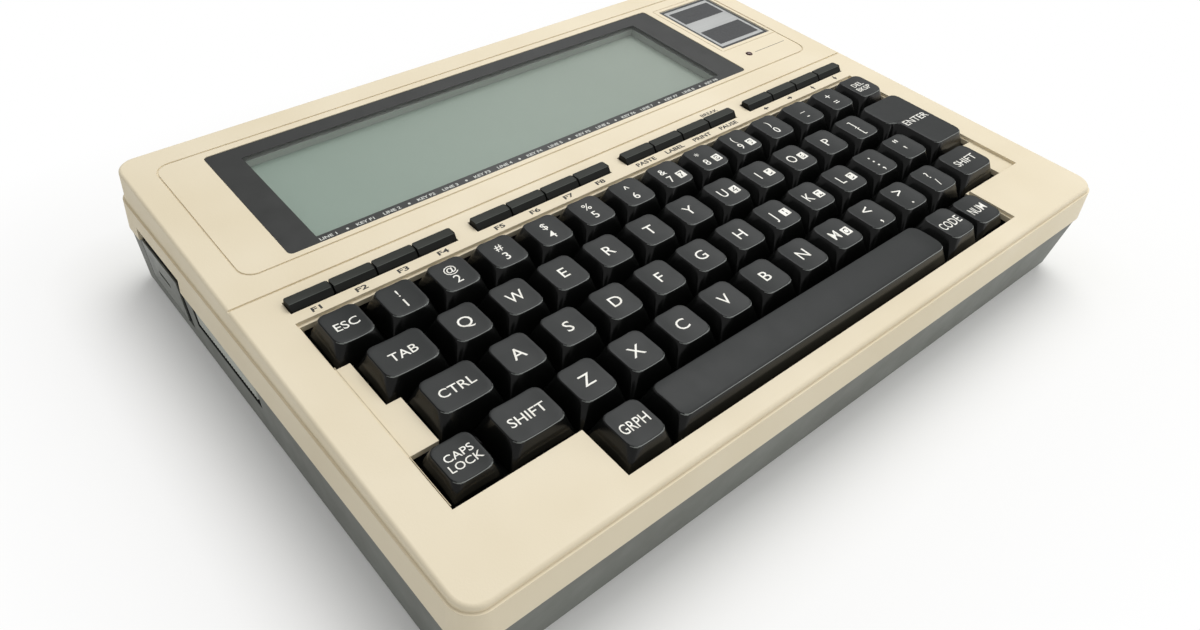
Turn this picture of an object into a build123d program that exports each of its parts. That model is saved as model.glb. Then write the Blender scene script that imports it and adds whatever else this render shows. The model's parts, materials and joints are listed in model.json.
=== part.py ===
from build123d import *
import math
import os

# A slab portable computer: two moulded shells, a display under a clear window,
# and a full keyboard. X is the width, Y runs from front to back, Z is up, in
# millimetres. The origin is on the table, under the middle of the case.

# Keyboard, measured on the deck: heights are counted from the deck's surface
key_pitch = 19.05
keyboard_units = 14
keyboard_rows = 5
cap_gap = 0.95
cap_height = 8.6
cap_rise = 4.1
cap_side_inset = 2.6
cap_end_inset = 2.2
cap_top_back_shift = 0.25
cap_corner = 0.9
cap_wall = 1.1
cap_roof = 1.6
cap_dish = 0.5
key_travel = 3.5
latch_drop = 2.0
stem_width = 5.5
stem_below_cap = 4.0
switch_width = 12.0
switch_floor = 0.4
plate_thickness = 1.2
board_thickness = 1.6
hole_margin = 0.3
hole_back_margin = 1.2
recess_margin = 1.0
recess_back_margin = 2.3
recess_depth = 1.2
rim_thickness = 1.5
space_guide_share = 0.75

# Bar keys above the keyboard: each is four fifths of a key wide
bar_pitch = 0.8 * key_pitch
bars_in_bank = 4
bank_count = 4
bank_pitch = (keyboard_units * key_pitch + cap_gap - bars_in_bank * bar_pitch) / (bank_count - 1)
bar_gap = 0.5
bar_depth = 5.3
bar_rise = 1.9
bar_front_rise = 1.2
bar_skirt = 4.0
bar_travel = 1.5
bar_corner_chamfer = 0.7
bar_stem_width = 4.0
bar_stem_depth = 2.6
bar_stem_length = 4.0
bar_switch_width = 9.0
bar_switch_depth = 6.0

# Deck layout: what lies between the case's edges, from the front edge backwards
keyboard_side_margin = 16.65
keyboard_front_margin = 8.675
bar_row_gap = 9.575
crease_gap = 8.6
window_front_gap = 12.75
window_depth = 64.5
window_rear_margin = 15.65

# Case
case_width = keyboard_units * key_pitch + 2 * keyboard_side_margin
case_depth = (
    keyboard_front_margin + keyboard_rows * key_pitch + bar_row_gap + crease_gap
    + window_front_gap + window_depth + window_rear_margin
)
rear_height = 50.0
front_height = 40.0
foot_height = 2.5
seam_height = 26.0
seam_gap = 0.5
step_drop = 2.0
step_height = front_height - step_drop
step_width = 0.8
tier_draft = 0.6
deck_end_inset = 3.2
corner_radius = 8.0
deck_edge_radius = 1.2
side_wall = 2.6
deck_thickness = 3.2
floor_thickness = 3.0
lower_inset = 0.5
bottom_side_inset = 1.9
bottom_front_inset = 3.4
bottom_rear_inset = 1.0
bottom_edge_chamfer = 1.2
lip_height = 2.0
lip_thickness = 1.2
fit = 0.2
running_fit = 0.3
keyboard_front_y = keyboard_front_margin - case_depth / 2
first_row_y = keyboard_front_y + (keyboard_rows - 0.5) * key_pitch
bar_centre_y = first_row_y + key_pitch / 2 + bar_row_gap
crease_y = bar_centre_y + crease_gap
crease_width = 0.9
crease_depth = 0.5

# Nameplate at the deck's right, behind the low battery lamp
nameplate_width = 31.8
nameplate_side_margin = 14.0
nameplate_gap = 5.8
nameplate_front_gap = 18.95
nameplate_back_gap = 4.75
nameplate_depth = window_depth - nameplate_front_gap - nameplate_back_gap
nameplate_thickness = 0.8
nameplate_sink = 0.4
nameplate_border = 2.4
nameplate_centre_x = case_width / 2 - nameplate_side_margin - nameplate_width / 2

# Display: the window fills the deck between its left margin and the nameplate
window_left_margin = 29.0
window_width = (
    case_width - window_left_margin - nameplate_gap - nameplate_width - nameplate_side_margin
)
window_centre_x = window_left_margin + window_width / 2 - case_width / 2
window_front_y = crease_y + window_front_gap
window_back_y = window_front_y + window_depth
window_centre_y = (window_front_y + window_back_y) / 2
window_thickness = 2.0
window_sink = 0.2
window_ledge = 1.6
window_corner_radius = 1.8
view_left_border = 11.6
view_right_border = 13.8
view_front_border = 3.65
view_back_border = 7.25
view_width = window_width - view_left_border - view_right_border
view_depth = window_depth - view_front_border - view_back_border
view_centre_x = window_centre_x + (view_left_border - view_right_border) / 2
view_centre_y = window_centre_y + (view_front_border - view_back_border) / 2
display_sink = 5.0
glass_thickness = 2.5
glass_margin = 2.6
display_board_margin = 4.0
groove_width = 0.7
groove_depth = 0.4
groove_side_margin = 11.8
groove_front_gap = 10.0
groove_back_margin = 11.9
groove_corner_radius = 6.0
groove_half_width = case_width / 2 - groove_side_margin
groove_front_y = crease_y + groove_front_gap
groove_back_y = case_depth / 2 - groove_back_margin
nameplate_centre_y = window_back_y - nameplate_back_gap - nameplate_depth / 2
lamp_inset = 6.6
lamp_front_gap = 9.05
lamp_x = nameplate_centre_x - nameplate_width / 2 + lamp_inset
lamp_y = window_front_y + lamp_front_gap
lamp_radius = 1.5
lamp_length = 7.0
lamp_flange = 0.7
lamp_dome = 0.6

# Main board
board_side_inset = 8.0
board_front_inset = 81.5
board_back_inset = 9.5
board_half_width = case_width / 2 - board_side_inset
board_front_y = board_front_inset - case_depth / 2
board_back_y = case_depth / 2 - board_back_inset
board_lift = 3.0
board_notch_gap = 1.0
rib_thickness = 1.6
rib_inset = 12.0

# What stands on the main board
chip_length, chip_depth, chip_height = 22.0, 14.0, 4.0
chip_columns, chip_rows = 4, 3
chip_column_pitch, chip_row_pitch = 30.0, 20.0
chip_row_shift = 5.0
first_chip_x = 10.0
chip_front_inset = 22.0
module_length = 52.0
module_pitch = 58.0
module_side_inset = 32.0
module_front_inset = 16.0
option_socket_length = 36.0
cell_x = 48.0
cell_back_inset = 38.0
memory_cell_radius, memory_cell_length = 7.0, 16.0
buzzer_x = -20.0
buzzer_back_inset = 23.0
buzzer_radius, buzzer_height, buzzer_hole_radius = 11.0, 5.0, 1.5

# Battery compartment, four AA cells in two rows
cell_radius = 7.15
cell_length = 49.5
cell_tip_radius = 2.75
cell_tip_length = 1.0
contact_thickness = 0.5
contact_width = 10.0
cover_thickness = 1.8
cover_margin = 3.0
compartment_wall = 1.6
battery_side_inset = 36.6
battery_front_inset = 32.5
battery_half_width = cell_length + cell_tip_length + contact_thickness + 2 * fit
battery_half_depth = 2 * cell_radius + fit
battery_centre_x = case_width / 2 - battery_side_inset - battery_half_width
battery_centre_y = battery_front_inset - case_depth / 2

# Feet and screws
foot_radius = 6.0
foot_recess = 0.8
foot_taper = 0.5
foot_inset_x = 24.0
foot_inset_y = 20.0
screw_radius = 1.5
screw_clearance = 0.1
screw_head_radius = 2.9
screw_head_height = 2.0
screw_sink = 1.0
screw_reach = 6.0
screw_inset_x = 10.0
screw_inset_y = 12.0
boss_radius = 4.0

# Derived places
deck_half_depth = case_depth / 2 - deck_end_inset
deck_middle = (rear_height + front_height) / 2
deck_angle = math.atan2(rear_height - front_height, 2 * deck_half_depth)
deck = Plane(
    origin=(0, 0, deck_middle),
    x_dir=(1, 0, 0),
    z_dir=(0, -math.sin(deck_angle), math.cos(deck_angle)),
)
keys_left = -keyboard_units * key_pitch / 2
cap_base = cap_rise - cap_height
plate_top = cap_base - key_travel - running_fit
plate_bottom = plate_top - plate_thickness
stem_end = cap_base - stem_below_cap
switch_top = cap_base
switch_bottom = stem_end - key_travel - switch_floor - running_fit
floor_top = foot_height + floor_thickness
board_bottom = floor_top + board_lift
board_top = board_bottom + board_thickness
window_bottom = -window_sink - window_thickness
display_top = -display_sink
display_bottom = display_top - glass_thickness


def block(x0, x1, y0, y1, z0, z1):
    """A box given by its two ends on each axis."""
    middle = Pos((x0 + x1) / 2, (y0 + y1) / 2, (z0 + z1) / 2)
    return middle * Box(x1 - x0, y1 - y0, z1 - z0)


def post(x, y, z0, z1, radius):
    """An upright round post between two heights."""
    return Pos(x, y, (z0 + z1) / 2) * Cylinder(radius, z1 - z0)


def along_y(x, z, y0, y1, radius):
    """A round bar that runs from front to back."""
    return Pos(x, (y0 + y1) / 2, z) * Rot(90, 0, 0) * Cylinder(radius, y1 - y0)


def along_x(y, z, x0, x1, radius):
    """A round bar that runs from side to side."""
    return Pos((x0 + x1) / 2, y, z) * Rot(0, 90, 0) * Cylinder(radius, x1 - x0)


def on_deck(shape):
    """Moves a shape drawn flat, with z = 0 on the deck, to the sloping deck."""
    return deck.location * shape


def deck_height(y):
    """Height of the deck's surface above the table at a distance y."""
    return deck_middle + y * math.tan(deck_angle)


def tapered_block(x0, x1, y0, y1, z0, z1, left, right, front, back):
    """A block whose walls lean in by these amounts at its top."""
    wedge = Wedge(
        x1 - x0, z1 - z0, y1 - y0, left, back, x1 - x0 - right, y1 - y0 - front, align=None
    )
    return Pos(x0, y1, z0) * Rot(90, 0, 0) * wedge


def upright_edges(solid):
    """The edges of a block that aren't level."""
    return solid.edges().filter_by(lambda edge: abs((edge @ 1).Z - (edge @ 0).Z) > fit)


def shell_block(x0, x1, y0, y1, z0, z1, left, right, front, back, radius):
    """A tapered block with rounded upright edges."""
    solid = tapered_block(x0, x1, y0, y1, z0, z1, left, right, front, back)
    return fillet(upright_edges(solid), radius)


def under_deck(shape, height):
    """What is left of a shape below a plane parallel to the deck."""
    return shape & on_deck(block(
        -case_width, case_width, -case_depth, case_depth, -case_width, height
    ))


def rounded(width, depth, radius, z, x=0.0, y=0.0):
    """A flat rounded rectangle at a height."""
    return Pos(x, y, z) * RectangleRounded(width, depth, radius)


# Key places: each row's first key and key count, in key widths from the left
digit_row = (1.0, 12)
upper_letter_row = (1.5, 11)
home_letter_row = (1.75, 11)
lower_letter_row = (2.25, 10)
row_extents = [(0, 14), (0.25, 14), (0.5, 14), (0, 13.5), (2.25, 12.25)]
finger_columns = [
    "keys_1_q_a_z", "keys_2_w_s_x", "keys_3_e_d_c", "keys_4_r_f_v",
    "keys_5_t_g_b", "keys_6_y_h_n", "keys_7_u_j_m", "keys_8_i_k_comma",
    "keys_9_o_l_point", "keys_0_p_semicolon_slash", "keys_minus_equals_bracket_quote",
]
bar_banks = ["bar_keys_f1_f4", "bar_keys_f5_f8", "bar_keys_command", "bar_keys_arrows"]
# Keys that stand alone: row, first and last edge in key widths
single_keys = {
    "key_escape": (0, 0.0, 1.0),
    "key_delete": (0, 13.0, 14.0),
    "key_tab": (1, 0.25, 1.5),
    "key_control": (2, 0.5, 1.75),
    "key_caps_lock": (3, 0.0, 1.0),
    "key_shift_left": (3, 1.0, 2.25),
    "key_shift_right": (3, 12.25, 13.5),
    "key_graph": (4, 2.25, 3.25),
    "key_code": (4, 10.25, 11.25),
    "key_num": (4, 11.25, 12.25),
}
latching_keys = ["key_caps_lock", "key_num"]
space_row, space_left, space_right = 4, 3.25, 10.25
space_guide_spacing = space_guide_share * (space_right - space_left) * key_pitch
enter_row, enter_left, enter_lower_left, enter_right = 1, 12.5, 12.75, 14.0


def row_y(row):
    """Middle of a keyboard row, counted from the digits towards the front."""
    return first_row_y - row * key_pitch


def key_x(units):
    """Distance across the deck of a place counted in key widths."""
    return keys_left + units * key_pitch


def finger_column_keys(column):
    """Row and left edge of each key that one finger column holds."""
    rows = [digit_row, upper_letter_row, home_letter_row, lower_letter_row]
    keys = [(row, start + column) for row, (start, count) in enumerate(rows) if column < count]
    if column == len(finger_columns) - 1:
        keys.append((0, digit_row[0] + digit_row[1] - 1))
    return keys


def keyboard_outline(margin, back_margin):
    """Stepped outline of all the keys, widened by a margin."""
    outline = Sketch()
    for row, (left, right) in enumerate(row_extents):
        back = back_margin if row == 0 else margin
        x0 = key_x(left) - margin
        x1 = key_x(right) + margin
        y0 = row_y(row) - key_pitch / 2 - margin
        y1 = row_y(row) + key_pitch / 2 + back
        outline += Pos((x0 + x1) / 2, (y0 + y1) / 2) * Rectangle(x1 - x0, y1 - y0)
    return outline


def keyboard_recess_outline(grow=0.0):
    """Outline of the shallow recess: four full rows and the shorter front row."""
    left, right = row_extents[-1]
    margin = recess_margin + grow
    full_back = row_y(0) + key_pitch / 2 + recess_back_margin + grow
    full_front = row_y(3) - key_pitch / 2 - margin
    front = row_y(4) - key_pitch / 2 - hole_margin - grow
    full_width = keyboard_units * key_pitch + 2 * margin
    full = Pos(0, (full_back + full_front) / 2) * Rectangle(full_width, full_back - full_front)
    short_width = (right - left) * key_pitch + 2 * margin
    short_x = (key_x(left) + key_x(right)) / 2
    short = Pos(short_x, (full_front + front) / 2) * Rectangle(short_width, full_front - front)
    return full + short


def cap_form(width, depth, wall, base, top, drop, y_shift):
    """A tapered cap outline, moved in by a wall on every side, between two heights."""
    return tapered_block(
        -width / 2 + wall, width / 2 - wall, y_shift - depth / 2 + wall,
        y_shift + depth / 2 - wall, base - drop, top - drop, cap_side_inset, cap_side_inset,
        cap_end_inset + cap_top_back_shift, cap_end_inset - cap_top_back_shift,
    )


def frustum(width, depth, drop=0.0, y_shift=0.0):
    """Outer form of a key cap, with softened corners."""
    form = cap_form(width, depth, 0, cap_base, cap_rise, drop, y_shift)
    return chamfer(upright_edges(form), cap_corner)


def cap_cavity(width, depth, drop=0.0, y_shift=0.0):
    """Hollow under a cap."""
    return cap_form(width, depth, cap_wall, cap_base, cap_rise - cap_roof, drop, y_shift)


def cap_stem(drop=0.0):
    """Square stem under a cap's roof."""
    half = stem_width / 2
    return block(-half, half, -half, half, stem_end - drop, cap_rise - cap_roof - drop)


def dish(width, drop=0.0):
    """Long round cutter that hollows a cap's top from side to side."""
    top_width = width - 2 * cap_side_inset
    radius = (top_width**2 / 4 + cap_dish**2) / (2 * cap_dish)
    return Pos(0, 0, cap_rise - drop - cap_dish + radius) * Rot(90, 0, 0) * Cylinder(
        radius, 2 * key_pitch
    )


def key_cap(units, drop=0.0):
    """One dished, hollow cap on its stem, centred on its own cell."""
    width = units * key_pitch - cap_gap
    depth = key_pitch - cap_gap
    cap = frustum(width, depth, drop) - cap_cavity(width, depth, drop)
    return cap + cap_stem(drop) - dish(width, drop)


def placed_key(row, left, right, drop=0.0):
    """A cap set down between two edges of a row."""
    middle = (key_x(left) + key_x(right)) / 2
    return Pos(middle, row_y(row), 0) * key_cap(right - left, drop)


def space_bar():
    """Long bar with a crowned top, one switch stem and two guide stems."""
    width = (space_right - space_left) * key_pitch - cap_gap
    depth = key_pitch - cap_gap
    top_depth = depth - 2 * cap_end_inset
    crown_radius = (top_depth**2 / 4 + cap_dish**2) / (2 * cap_dish)
    crown = along_x(0, cap_rise - crown_radius, -width / 2, width / 2, crown_radius)
    bar = (frustum(width, depth) & crown) - cap_cavity(width, depth)
    for x in (-space_guide_spacing / 2, 0, space_guide_spacing / 2):
        bar += Pos(x, 0, 0) * cap_stem()
    middle = (key_x(space_left) + key_x(space_right)) / 2
    return Pos(middle, row_y(space_row), 0) * bar


def enter_key():
    """Tall cap over two rows, wider on the upper row."""
    depth = key_pitch - cap_gap
    wide = (enter_right - enter_left) * key_pitch - cap_gap
    tall_width = (enter_right - enter_lower_left) * key_pitch - cap_gap
    right_edge = key_x(enter_right) - cap_gap / 2
    wide_at = Pos(right_edge - wide / 2, row_y(enter_row), 0)
    tall_at = Pos(right_edge - tall_width / 2, row_y(enter_row) - key_pitch / 2, 0)
    outer = wide_at * frustum(wide, depth) + tall_at * frustum(tall_width, depth + key_pitch)
    inner = wide_at * cap_cavity(wide, depth) + tall_at * cap_cavity(tall_width, depth + key_pitch)
    return outer - inner + tall_at * cap_stem()


def bar_x(bank, index):
    """Middle of one bar key."""
    return keys_left + bank * bank_pitch + (index + 0.5) * bar_pitch


def bar_key():
    """One bar key: flat top that breaks to a sloping front, on a flat stem."""
    half = bar_depth / 2
    with BuildPart() as bar:
        with BuildSketch(Plane.YZ):
            with BuildLine():
                Polyline(
                    (-half, -bar_skirt), (half, -bar_skirt), (half, bar_rise),
                    (0, bar_rise), (-half, bar_front_rise), (-half, -bar_skirt),
                )
            make_face()
        extrude(amount=(bar_pitch - bar_gap) / 2, both=True)
        chamfer(bar.edges().filter_by(Axis.Z).group_by(Axis.Y)[-1], bar_corner_chamfer)
    stem = block(
        -bar_stem_width / 2, bar_stem_width / 2, -bar_stem_depth / 2, bar_stem_depth / 2,
        -bar_skirt - bar_stem_length, -bar_skirt,
    )
    return bar.part + stem


def switch_housing(x, y):
    """One key switch: a square housing with a well for the stem."""
    half = switch_width / 2
    well = stem_width / 2 + running_fit
    body = block(x - half, x + half, y - half, y + half, switch_bottom, switch_top)
    return body - block(
        x - well, x + well, y - well, y + well, switch_bottom + switch_floor, switch_top
    )


def switch_places():
    """Middle of every main key switch and space bar guide."""
    places = []
    for column in range(len(finger_columns)):
        places += [(key_x(left + 0.5), row_y(row)) for row, left in finger_column_keys(column)]
    for row, left, right in single_keys.values():
        places.append(((key_x(left) + key_x(right)) / 2, row_y(row)))
    space_middle = (key_x(space_left) + key_x(space_right)) / 2
    for x in (-space_guide_spacing / 2, 0, space_guide_spacing / 2):
        places.append((space_middle + x, row_y(space_row)))
    enter_middle = (key_x(enter_lower_left) + key_x(enter_right)) / 2
    places.append((enter_middle, row_y(enter_row) - key_pitch / 2))
    return places


def bar_switch_housing(x):
    """Small switch under one bar key."""
    half_width = bar_switch_width / 2
    half_depth = bar_switch_depth / 2
    top = -bar_skirt - bar_travel - running_fit
    well_floor = -bar_skirt - bar_stem_length - bar_travel - running_fit
    body = block(
        x - half_width, x + half_width, bar_centre_y - half_depth, bar_centre_y + half_depth,
        switch_bottom, top,
    )
    well_width = bar_stem_width / 2 + running_fit
    well_depth = bar_stem_depth / 2 + running_fit
    return body - block(
        x - well_width, x + well_width, bar_centre_y - well_depth, bar_centre_y + well_depth,
        well_floor, top,
    )


def key_switches():
    """All the switches, each a separate housing on the keyboard board."""
    housings = [switch_housing(x, y) for x, y in switch_places()]
    for bank in range(bank_count):
        housings += [bar_switch_housing(bar_x(bank, index)) for index in range(bars_in_bank)]
    return Compound(children=[on_deck(housing) for housing in housings])


def keyboard_plate():
    """Pressed black pan round the switches; its rim reaches the deck's underside."""
    outline = keyboard_recess_outline(rim_thickness)
    inside = keyboard_recess_outline()
    height = -deck_thickness - fit - plate_bottom
    pan = Pos(0, 0, plate_bottom) * extrude(outline, amount=height)
    pan -= Pos(0, 0, plate_top) * extrude(inside, amount=height)
    hole = switch_width / 2 + fit
    holes = Sketch()
    for x, y in switch_places():
        holes += Pos(x, y) * Rectangle(2 * hole, 2 * hole)
    return on_deck(pan - Pos(0, 0, plate_bottom) * extrude(holes, amount=plate_thickness))


def keyboard_board():
    """Circuit board under the key switches."""
    half = keyboard_units * key_pitch / 2 + recess_margin
    front = row_y(4) - key_pitch / 2
    back = bar_centre_y + bar_switch_depth / 2 + recess_margin
    return on_deck(block(-half, half, front, back, switch_bottom - board_thickness, switch_bottom))


# Screw places, shared by both shells and the screws
screw_x = case_width / 2 - screw_inset_x
screw_y = case_depth / 2 - screw_inset_y
screw_places = [(x, y) for x in (-screw_x, screw_x) for y in (-screw_y, screw_y)]
foot_x = case_width / 2 - foot_inset_x
foot_y = case_depth / 2 - foot_inset_y
foot_places = [(x, y) for x in (-foot_x, foot_x) for y in (-foot_y, foot_y)]

# Left side openings: a port with its connector, and a long recess with a ribbed strip
port_back_margin = 16.5
port_length = 36.0
port_bottom = 9.0
port_height = 22.5
port_top = port_bottom + port_height
port_body_top_gap = 4.5
port_body_front_gap = 5.0
port_body_back_gap = 0.6
port_body_depth = 8.0
port_slot_length = 8.0
port_slot_height = 1.0
port_slot_depth = 1.5
port_back_y = case_depth / 2 - port_back_margin
port_front_y = port_back_y - port_length
strip_gap = 6.5
strip_length = 47.5
strip_back_y = port_front_y - strip_gap
strip_front_y = strip_back_y - strip_length
strip_slot_drop = 10.5
strip_slot_bottom = seam_height - strip_slot_drop
strip_slot_height = 2.7
strip_bottom = strip_slot_bottom + strip_slot_height
strip_back_gap = 2.5
strip_setback = 3.0
strip_thickness = 2.0
strip_rib_pitch = 2.0
strip_rib_depth = 0.4
strip_leg = 4.0
first_knob_inset = 13.0
knob_spacing = 20.0
first_knob_y = strip_front_y + first_knob_inset
knob_places = [first_knob_y, first_knob_y + knob_spacing]
knob_width = 4.0
knob_setback = 1.2
knob_switch_inset = 10.0
knob_switch_width, knob_switch_length = 6.0, 12.0

# Right side: power switch, contrast dial and power inlet
jack_back_margin = 37.5
jack_y = case_depth / 2 - jack_back_margin
jack_height = 16.0
jack_radius = 3.2
jack_pin_radius = 1.0
jack_barrel_wall = 0.8
jack_bore_depth = 9.0
jack_sink = 0.8
jack_width = 10.0
jack_depth = 11.0
dial_spacing = 45.0
dial_y = jack_y - dial_spacing
dial_radius = 11.0
dial_thickness = 3.5
dial_bottom = 15.0
dial_hub_radius = 3.0
dial_notches = 24
dial_notch_depth = 0.7
dial_stand_out = 0.7
dial_slot_share = 0.8
power_spacing = 37.0
power_y = dial_y - power_spacing
power_knob_width = 7.0
power_knob_depth = 3.5
power_knob_sink = 0.4
power_ridge_pitch = 2.0
power_ridge_gap = 0.8
power_ridge_depth = 0.6
power_stem_width = 3.0
power_stem_margin = 0.5
power_travel = 4.0
power_bottom, power_height = 14.0, 4.0
power_switch_setback = 8.0
power_switch_length, power_switch_width = 11.4, 18.0

# Rear: reset button and connectors
reset_side_margin = 22.0
reset_x = case_width / 2 - reset_side_margin
reset_radius = 2.6
reset_travel = 1.5
reset_height = 16.0
reset_collar = 1.2
reset_stand_out = 0.8
reset_switch_width, reset_switch_depth = 8.0, 6.0
serial_spacing = 42.0
printer_spacing = 68.0
phone_spacing = 60.0
cassette_spacing = 34.0
serial_x = reset_x - serial_spacing
printer_x = serial_x - printer_spacing
phone_x = printer_x - phone_spacing
cassette_x = phone_x - cassette_spacing
flange_width = 53.0
flange_height = 12.5
flange_sink = 1.6
flange_thickness = 1.0
d_shell_width = 39.0
d_shell_height = 9.6
d_shell_wall = 0.5
d_shell_length = 1.8
d_insulator_length = 1.2
d_body_width = 47.0
jack_nut_radius = 2.6
jack_nut_length = 1.6
jack_nut_inset = 3.2
header_width = 44.0
header_height = 9.0
header_wall = 1.2
header_well_depth = 8.0
header_key_width = 4.4
header_pins = 13
header_pitch = 2.54
pin_width = 0.64
pin_sink = 2.0
din_radius = 7.6
din_height = 17.8
din_block_width = 13.0
din_block_sink = 3.0
din_recess = 1.0
din_wall = 0.9
connector_depth = 11.0
rear_face = case_depth / 2 - bottom_rear_inset

# Underside: expansion cover and memory switch
expansion_width, expansion_depth = 70.0, 55.0
expansion_side_inset = 95.0
expansion_front_inset = 46.0
memory_side_inset = 50.0
memory_front_inset = 26.0
expansion_x = expansion_side_inset - case_width / 2
expansion_y = board_front_y + expansion_front_inset
memory_x = case_width / 2 - memory_side_inset
memory_y = board_front_y + memory_front_inset
memory_knob = 3.5
memory_travel = 4.0
memory_sink = 0.4
memory_collar = 1.2
cover_groove_pitch = 2.5
cover_groove_width = 1.2
cover_groove_depth = 0.6
cover_groove_start, cover_groove_end = 4.0, 12.0


def lower_wall_x(z):
    """Half width of the lower shell's outside at a height."""
    top = case_width / 2 - lower_inset
    bottom = case_width / 2 - bottom_side_inset
    return bottom + (top - bottom) * (z - foot_height) / (seam_height - foot_height)


def side_openings():
    """Cutters for everything that reaches out through the side and rear walls."""
    outside = case_width / 2 + 1
    inside = case_width / 2 - strip_setback - strip_thickness - 2 * side_wall
    back = case_depth / 2 + 1
    back_inside = back - 2 * side_wall - bottom_rear_inset
    cuts = [
        block(-outside, -inside, port_front_y, port_back_y, port_bottom, port_top),
        block(-outside, -inside, strip_front_y, strip_back_y, strip_slot_bottom, seam_height),
        block(
            inside, outside, power_y - power_knob_width / 2 - running_fit,
            power_y + power_knob_width / 2 + power_travel + running_fit,
            power_bottom - running_fit, power_bottom + power_height + running_fit,
        ),
        block(
            inside, outside, dial_y - dial_radius * dial_slot_share, dial_y + dial_radius * dial_slot_share,
            dial_bottom - running_fit, dial_bottom + dial_thickness + running_fit,
        ),
        along_x(jack_y, jack_height, inside, outside, jack_radius + jack_barrel_wall + fit),
        along_y(reset_x, reset_height, back_inside, back, reset_radius + running_fit),
        block(
            serial_x - flange_width / 2 - running_fit, serial_x + flange_width / 2 + running_fit,
            back_inside, back, board_top - running_fit, board_top + flange_height + running_fit,
        ),
        block(
            printer_x - header_width / 2 - running_fit, printer_x + header_width / 2 + running_fit,
            back_inside, back, board_top - running_fit, board_top + header_height + running_fit,
        ),
    ]
    for x in (phone_x, cassette_x):
        cuts.append(along_y(x, din_height, back_inside, back, din_radius + running_fit))
    return cuts


def upper_case():
    """Upper shell: two tiers with a fine ledge between them, and a sloping deck."""
    seam = seam_height + seam_gap / 2
    half_width = case_width / 2
    half_depth = case_depth / 2
    shell = shell_block(
        -half_width, half_width, -half_depth, half_depth, seam, step_height,
        tier_draft, tier_draft, tier_draft, tier_draft, corner_radius,
    )
    inset = tier_draft + step_width
    upper_tier = under_deck(shell_block(
        inset - half_width, half_width - inset, inset - half_depth, half_depth - inset,
        step_height, rear_height + deck_thickness, tier_draft, tier_draft, tier_draft, tier_draft,
        corner_radius - step_width,
    ), 0)
    shell += fillet(upper_tier.faces().sort_by(Axis.Z)[-1].edges(), deck_edge_radius)
    lean = inset + tier_draft
    shell -= under_deck(shell_block(
        side_wall - half_width, half_width - side_wall, side_wall - half_depth,
        half_depth - side_wall, seam, rear_height, lean, lean, lean, lean,
        corner_radius - side_wall,
    ), -deck_thickness)
    for cutter in deck_cuts():
        shell -= on_deck(cutter)
    for cutter in side_openings():
        shell -= cutter
    for x, y in screw_places:
        top = deck_height(y) - deck_thickness / 2
        shell += post(x, y, seam, top, boss_radius)
        shell -= post(x, y, seam, top - deck_thickness, screw_radius + screw_clearance)
    for x, y in display_board_posts():
        shell += on_deck(post(x, y, display_board_top(), -deck_thickness, boss_radius / 2))
    return shell


def deck_cuts():
    """Cutters for the deck, drawn flat with z = 0 on its surface."""
    deep = 2 * deck_thickness
    recess = keyboard_recess_outline()
    hole = keyboard_outline(hole_margin, hole_back_margin)
    cuts = [
        Pos(0, 0, -recess_depth) * extrude(recess, amount=deep),
        Pos(0, 0, -deep) * extrude(hole, amount=2 * deep),
    ]
    slot_width = bars_in_bank * bar_pitch - bar_gap + 2 * running_fit
    slot_depth = bar_depth + 2 * running_fit
    for bank in range(bank_count):
        middle = bar_x(bank, (bars_in_bank - 1) / 2)
        cuts.append(Pos(middle, bar_centre_y, 0) * Box(slot_width, slot_depth, 2 * deep))
    pocket = rounded(
        window_width, window_depth, window_corner_radius, window_bottom,
        window_centre_x, window_centre_y,
    )
    opening = rounded(
        window_width - 2 * window_ledge, window_depth - 2 * window_ledge,
        window_corner_radius, -deep, window_centre_x, window_centre_y,
    )
    cuts.append(extrude(pocket, amount=deep))
    cuts.append(extrude(opening, amount=2 * deep))
    plate = Pos(nameplate_centre_x, nameplate_centre_y)
    seat = plate * Rectangle(nameplate_width + 2 * fit, nameplate_depth + 2 * fit)
    cuts.append(Pos(0, 0, -nameplate_sink - nameplate_thickness) * extrude(seat, amount=deep))
    border_width = nameplate_width + 2 * nameplate_border
    border_depth = nameplate_depth + 2 * nameplate_border
    border = plate * (
        RectangleRounded(border_width, border_depth, nameplate_border / 2)
        - Rectangle(border_width - groove_width, border_depth - groove_width)
    )
    cuts.append(Pos(0, 0, -groove_depth / 2) * extrude(border, amount=deep))
    cuts.append(post(lamp_x, lamp_y, -deep, deep, lamp_radius + fit / 2))
    groove_middle = Pos(0, (groove_front_y + groove_back_y) / 2)
    groove_depth_y = groove_back_y - groove_front_y
    groove = groove_middle * (
        RectangleRounded(2 * groove_half_width, groove_depth_y, groove_corner_radius)
        - RectangleRounded(
            2 * (groove_half_width - groove_width), groove_depth_y - 2 * groove_width,
            groove_corner_radius - groove_width,
        )
    )
    cuts.append(Pos(0, 0, -groove_depth) * extrude(groove, amount=deep))
    cuts.append(block(
        -case_width, case_width, crease_y - crease_width / 2, crease_y + crease_width / 2,
        -crease_depth, deep,
    ))
    return cuts


def bottom_hatch(x, y, half_width, half_depth):
    """Cutters for an opening in the floor with a ledge for its cover."""
    wide = half_width + cover_margin + fit
    deep = half_depth + cover_margin + fit
    seat_top = foot_height + cover_thickness
    return [
        block(x - wide, x + wide, y - deep, y + deep, 0, seat_top),
        block(x - half_width, x + half_width, y - half_depth, y + half_depth, 0, floor_top),
    ]


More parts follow.
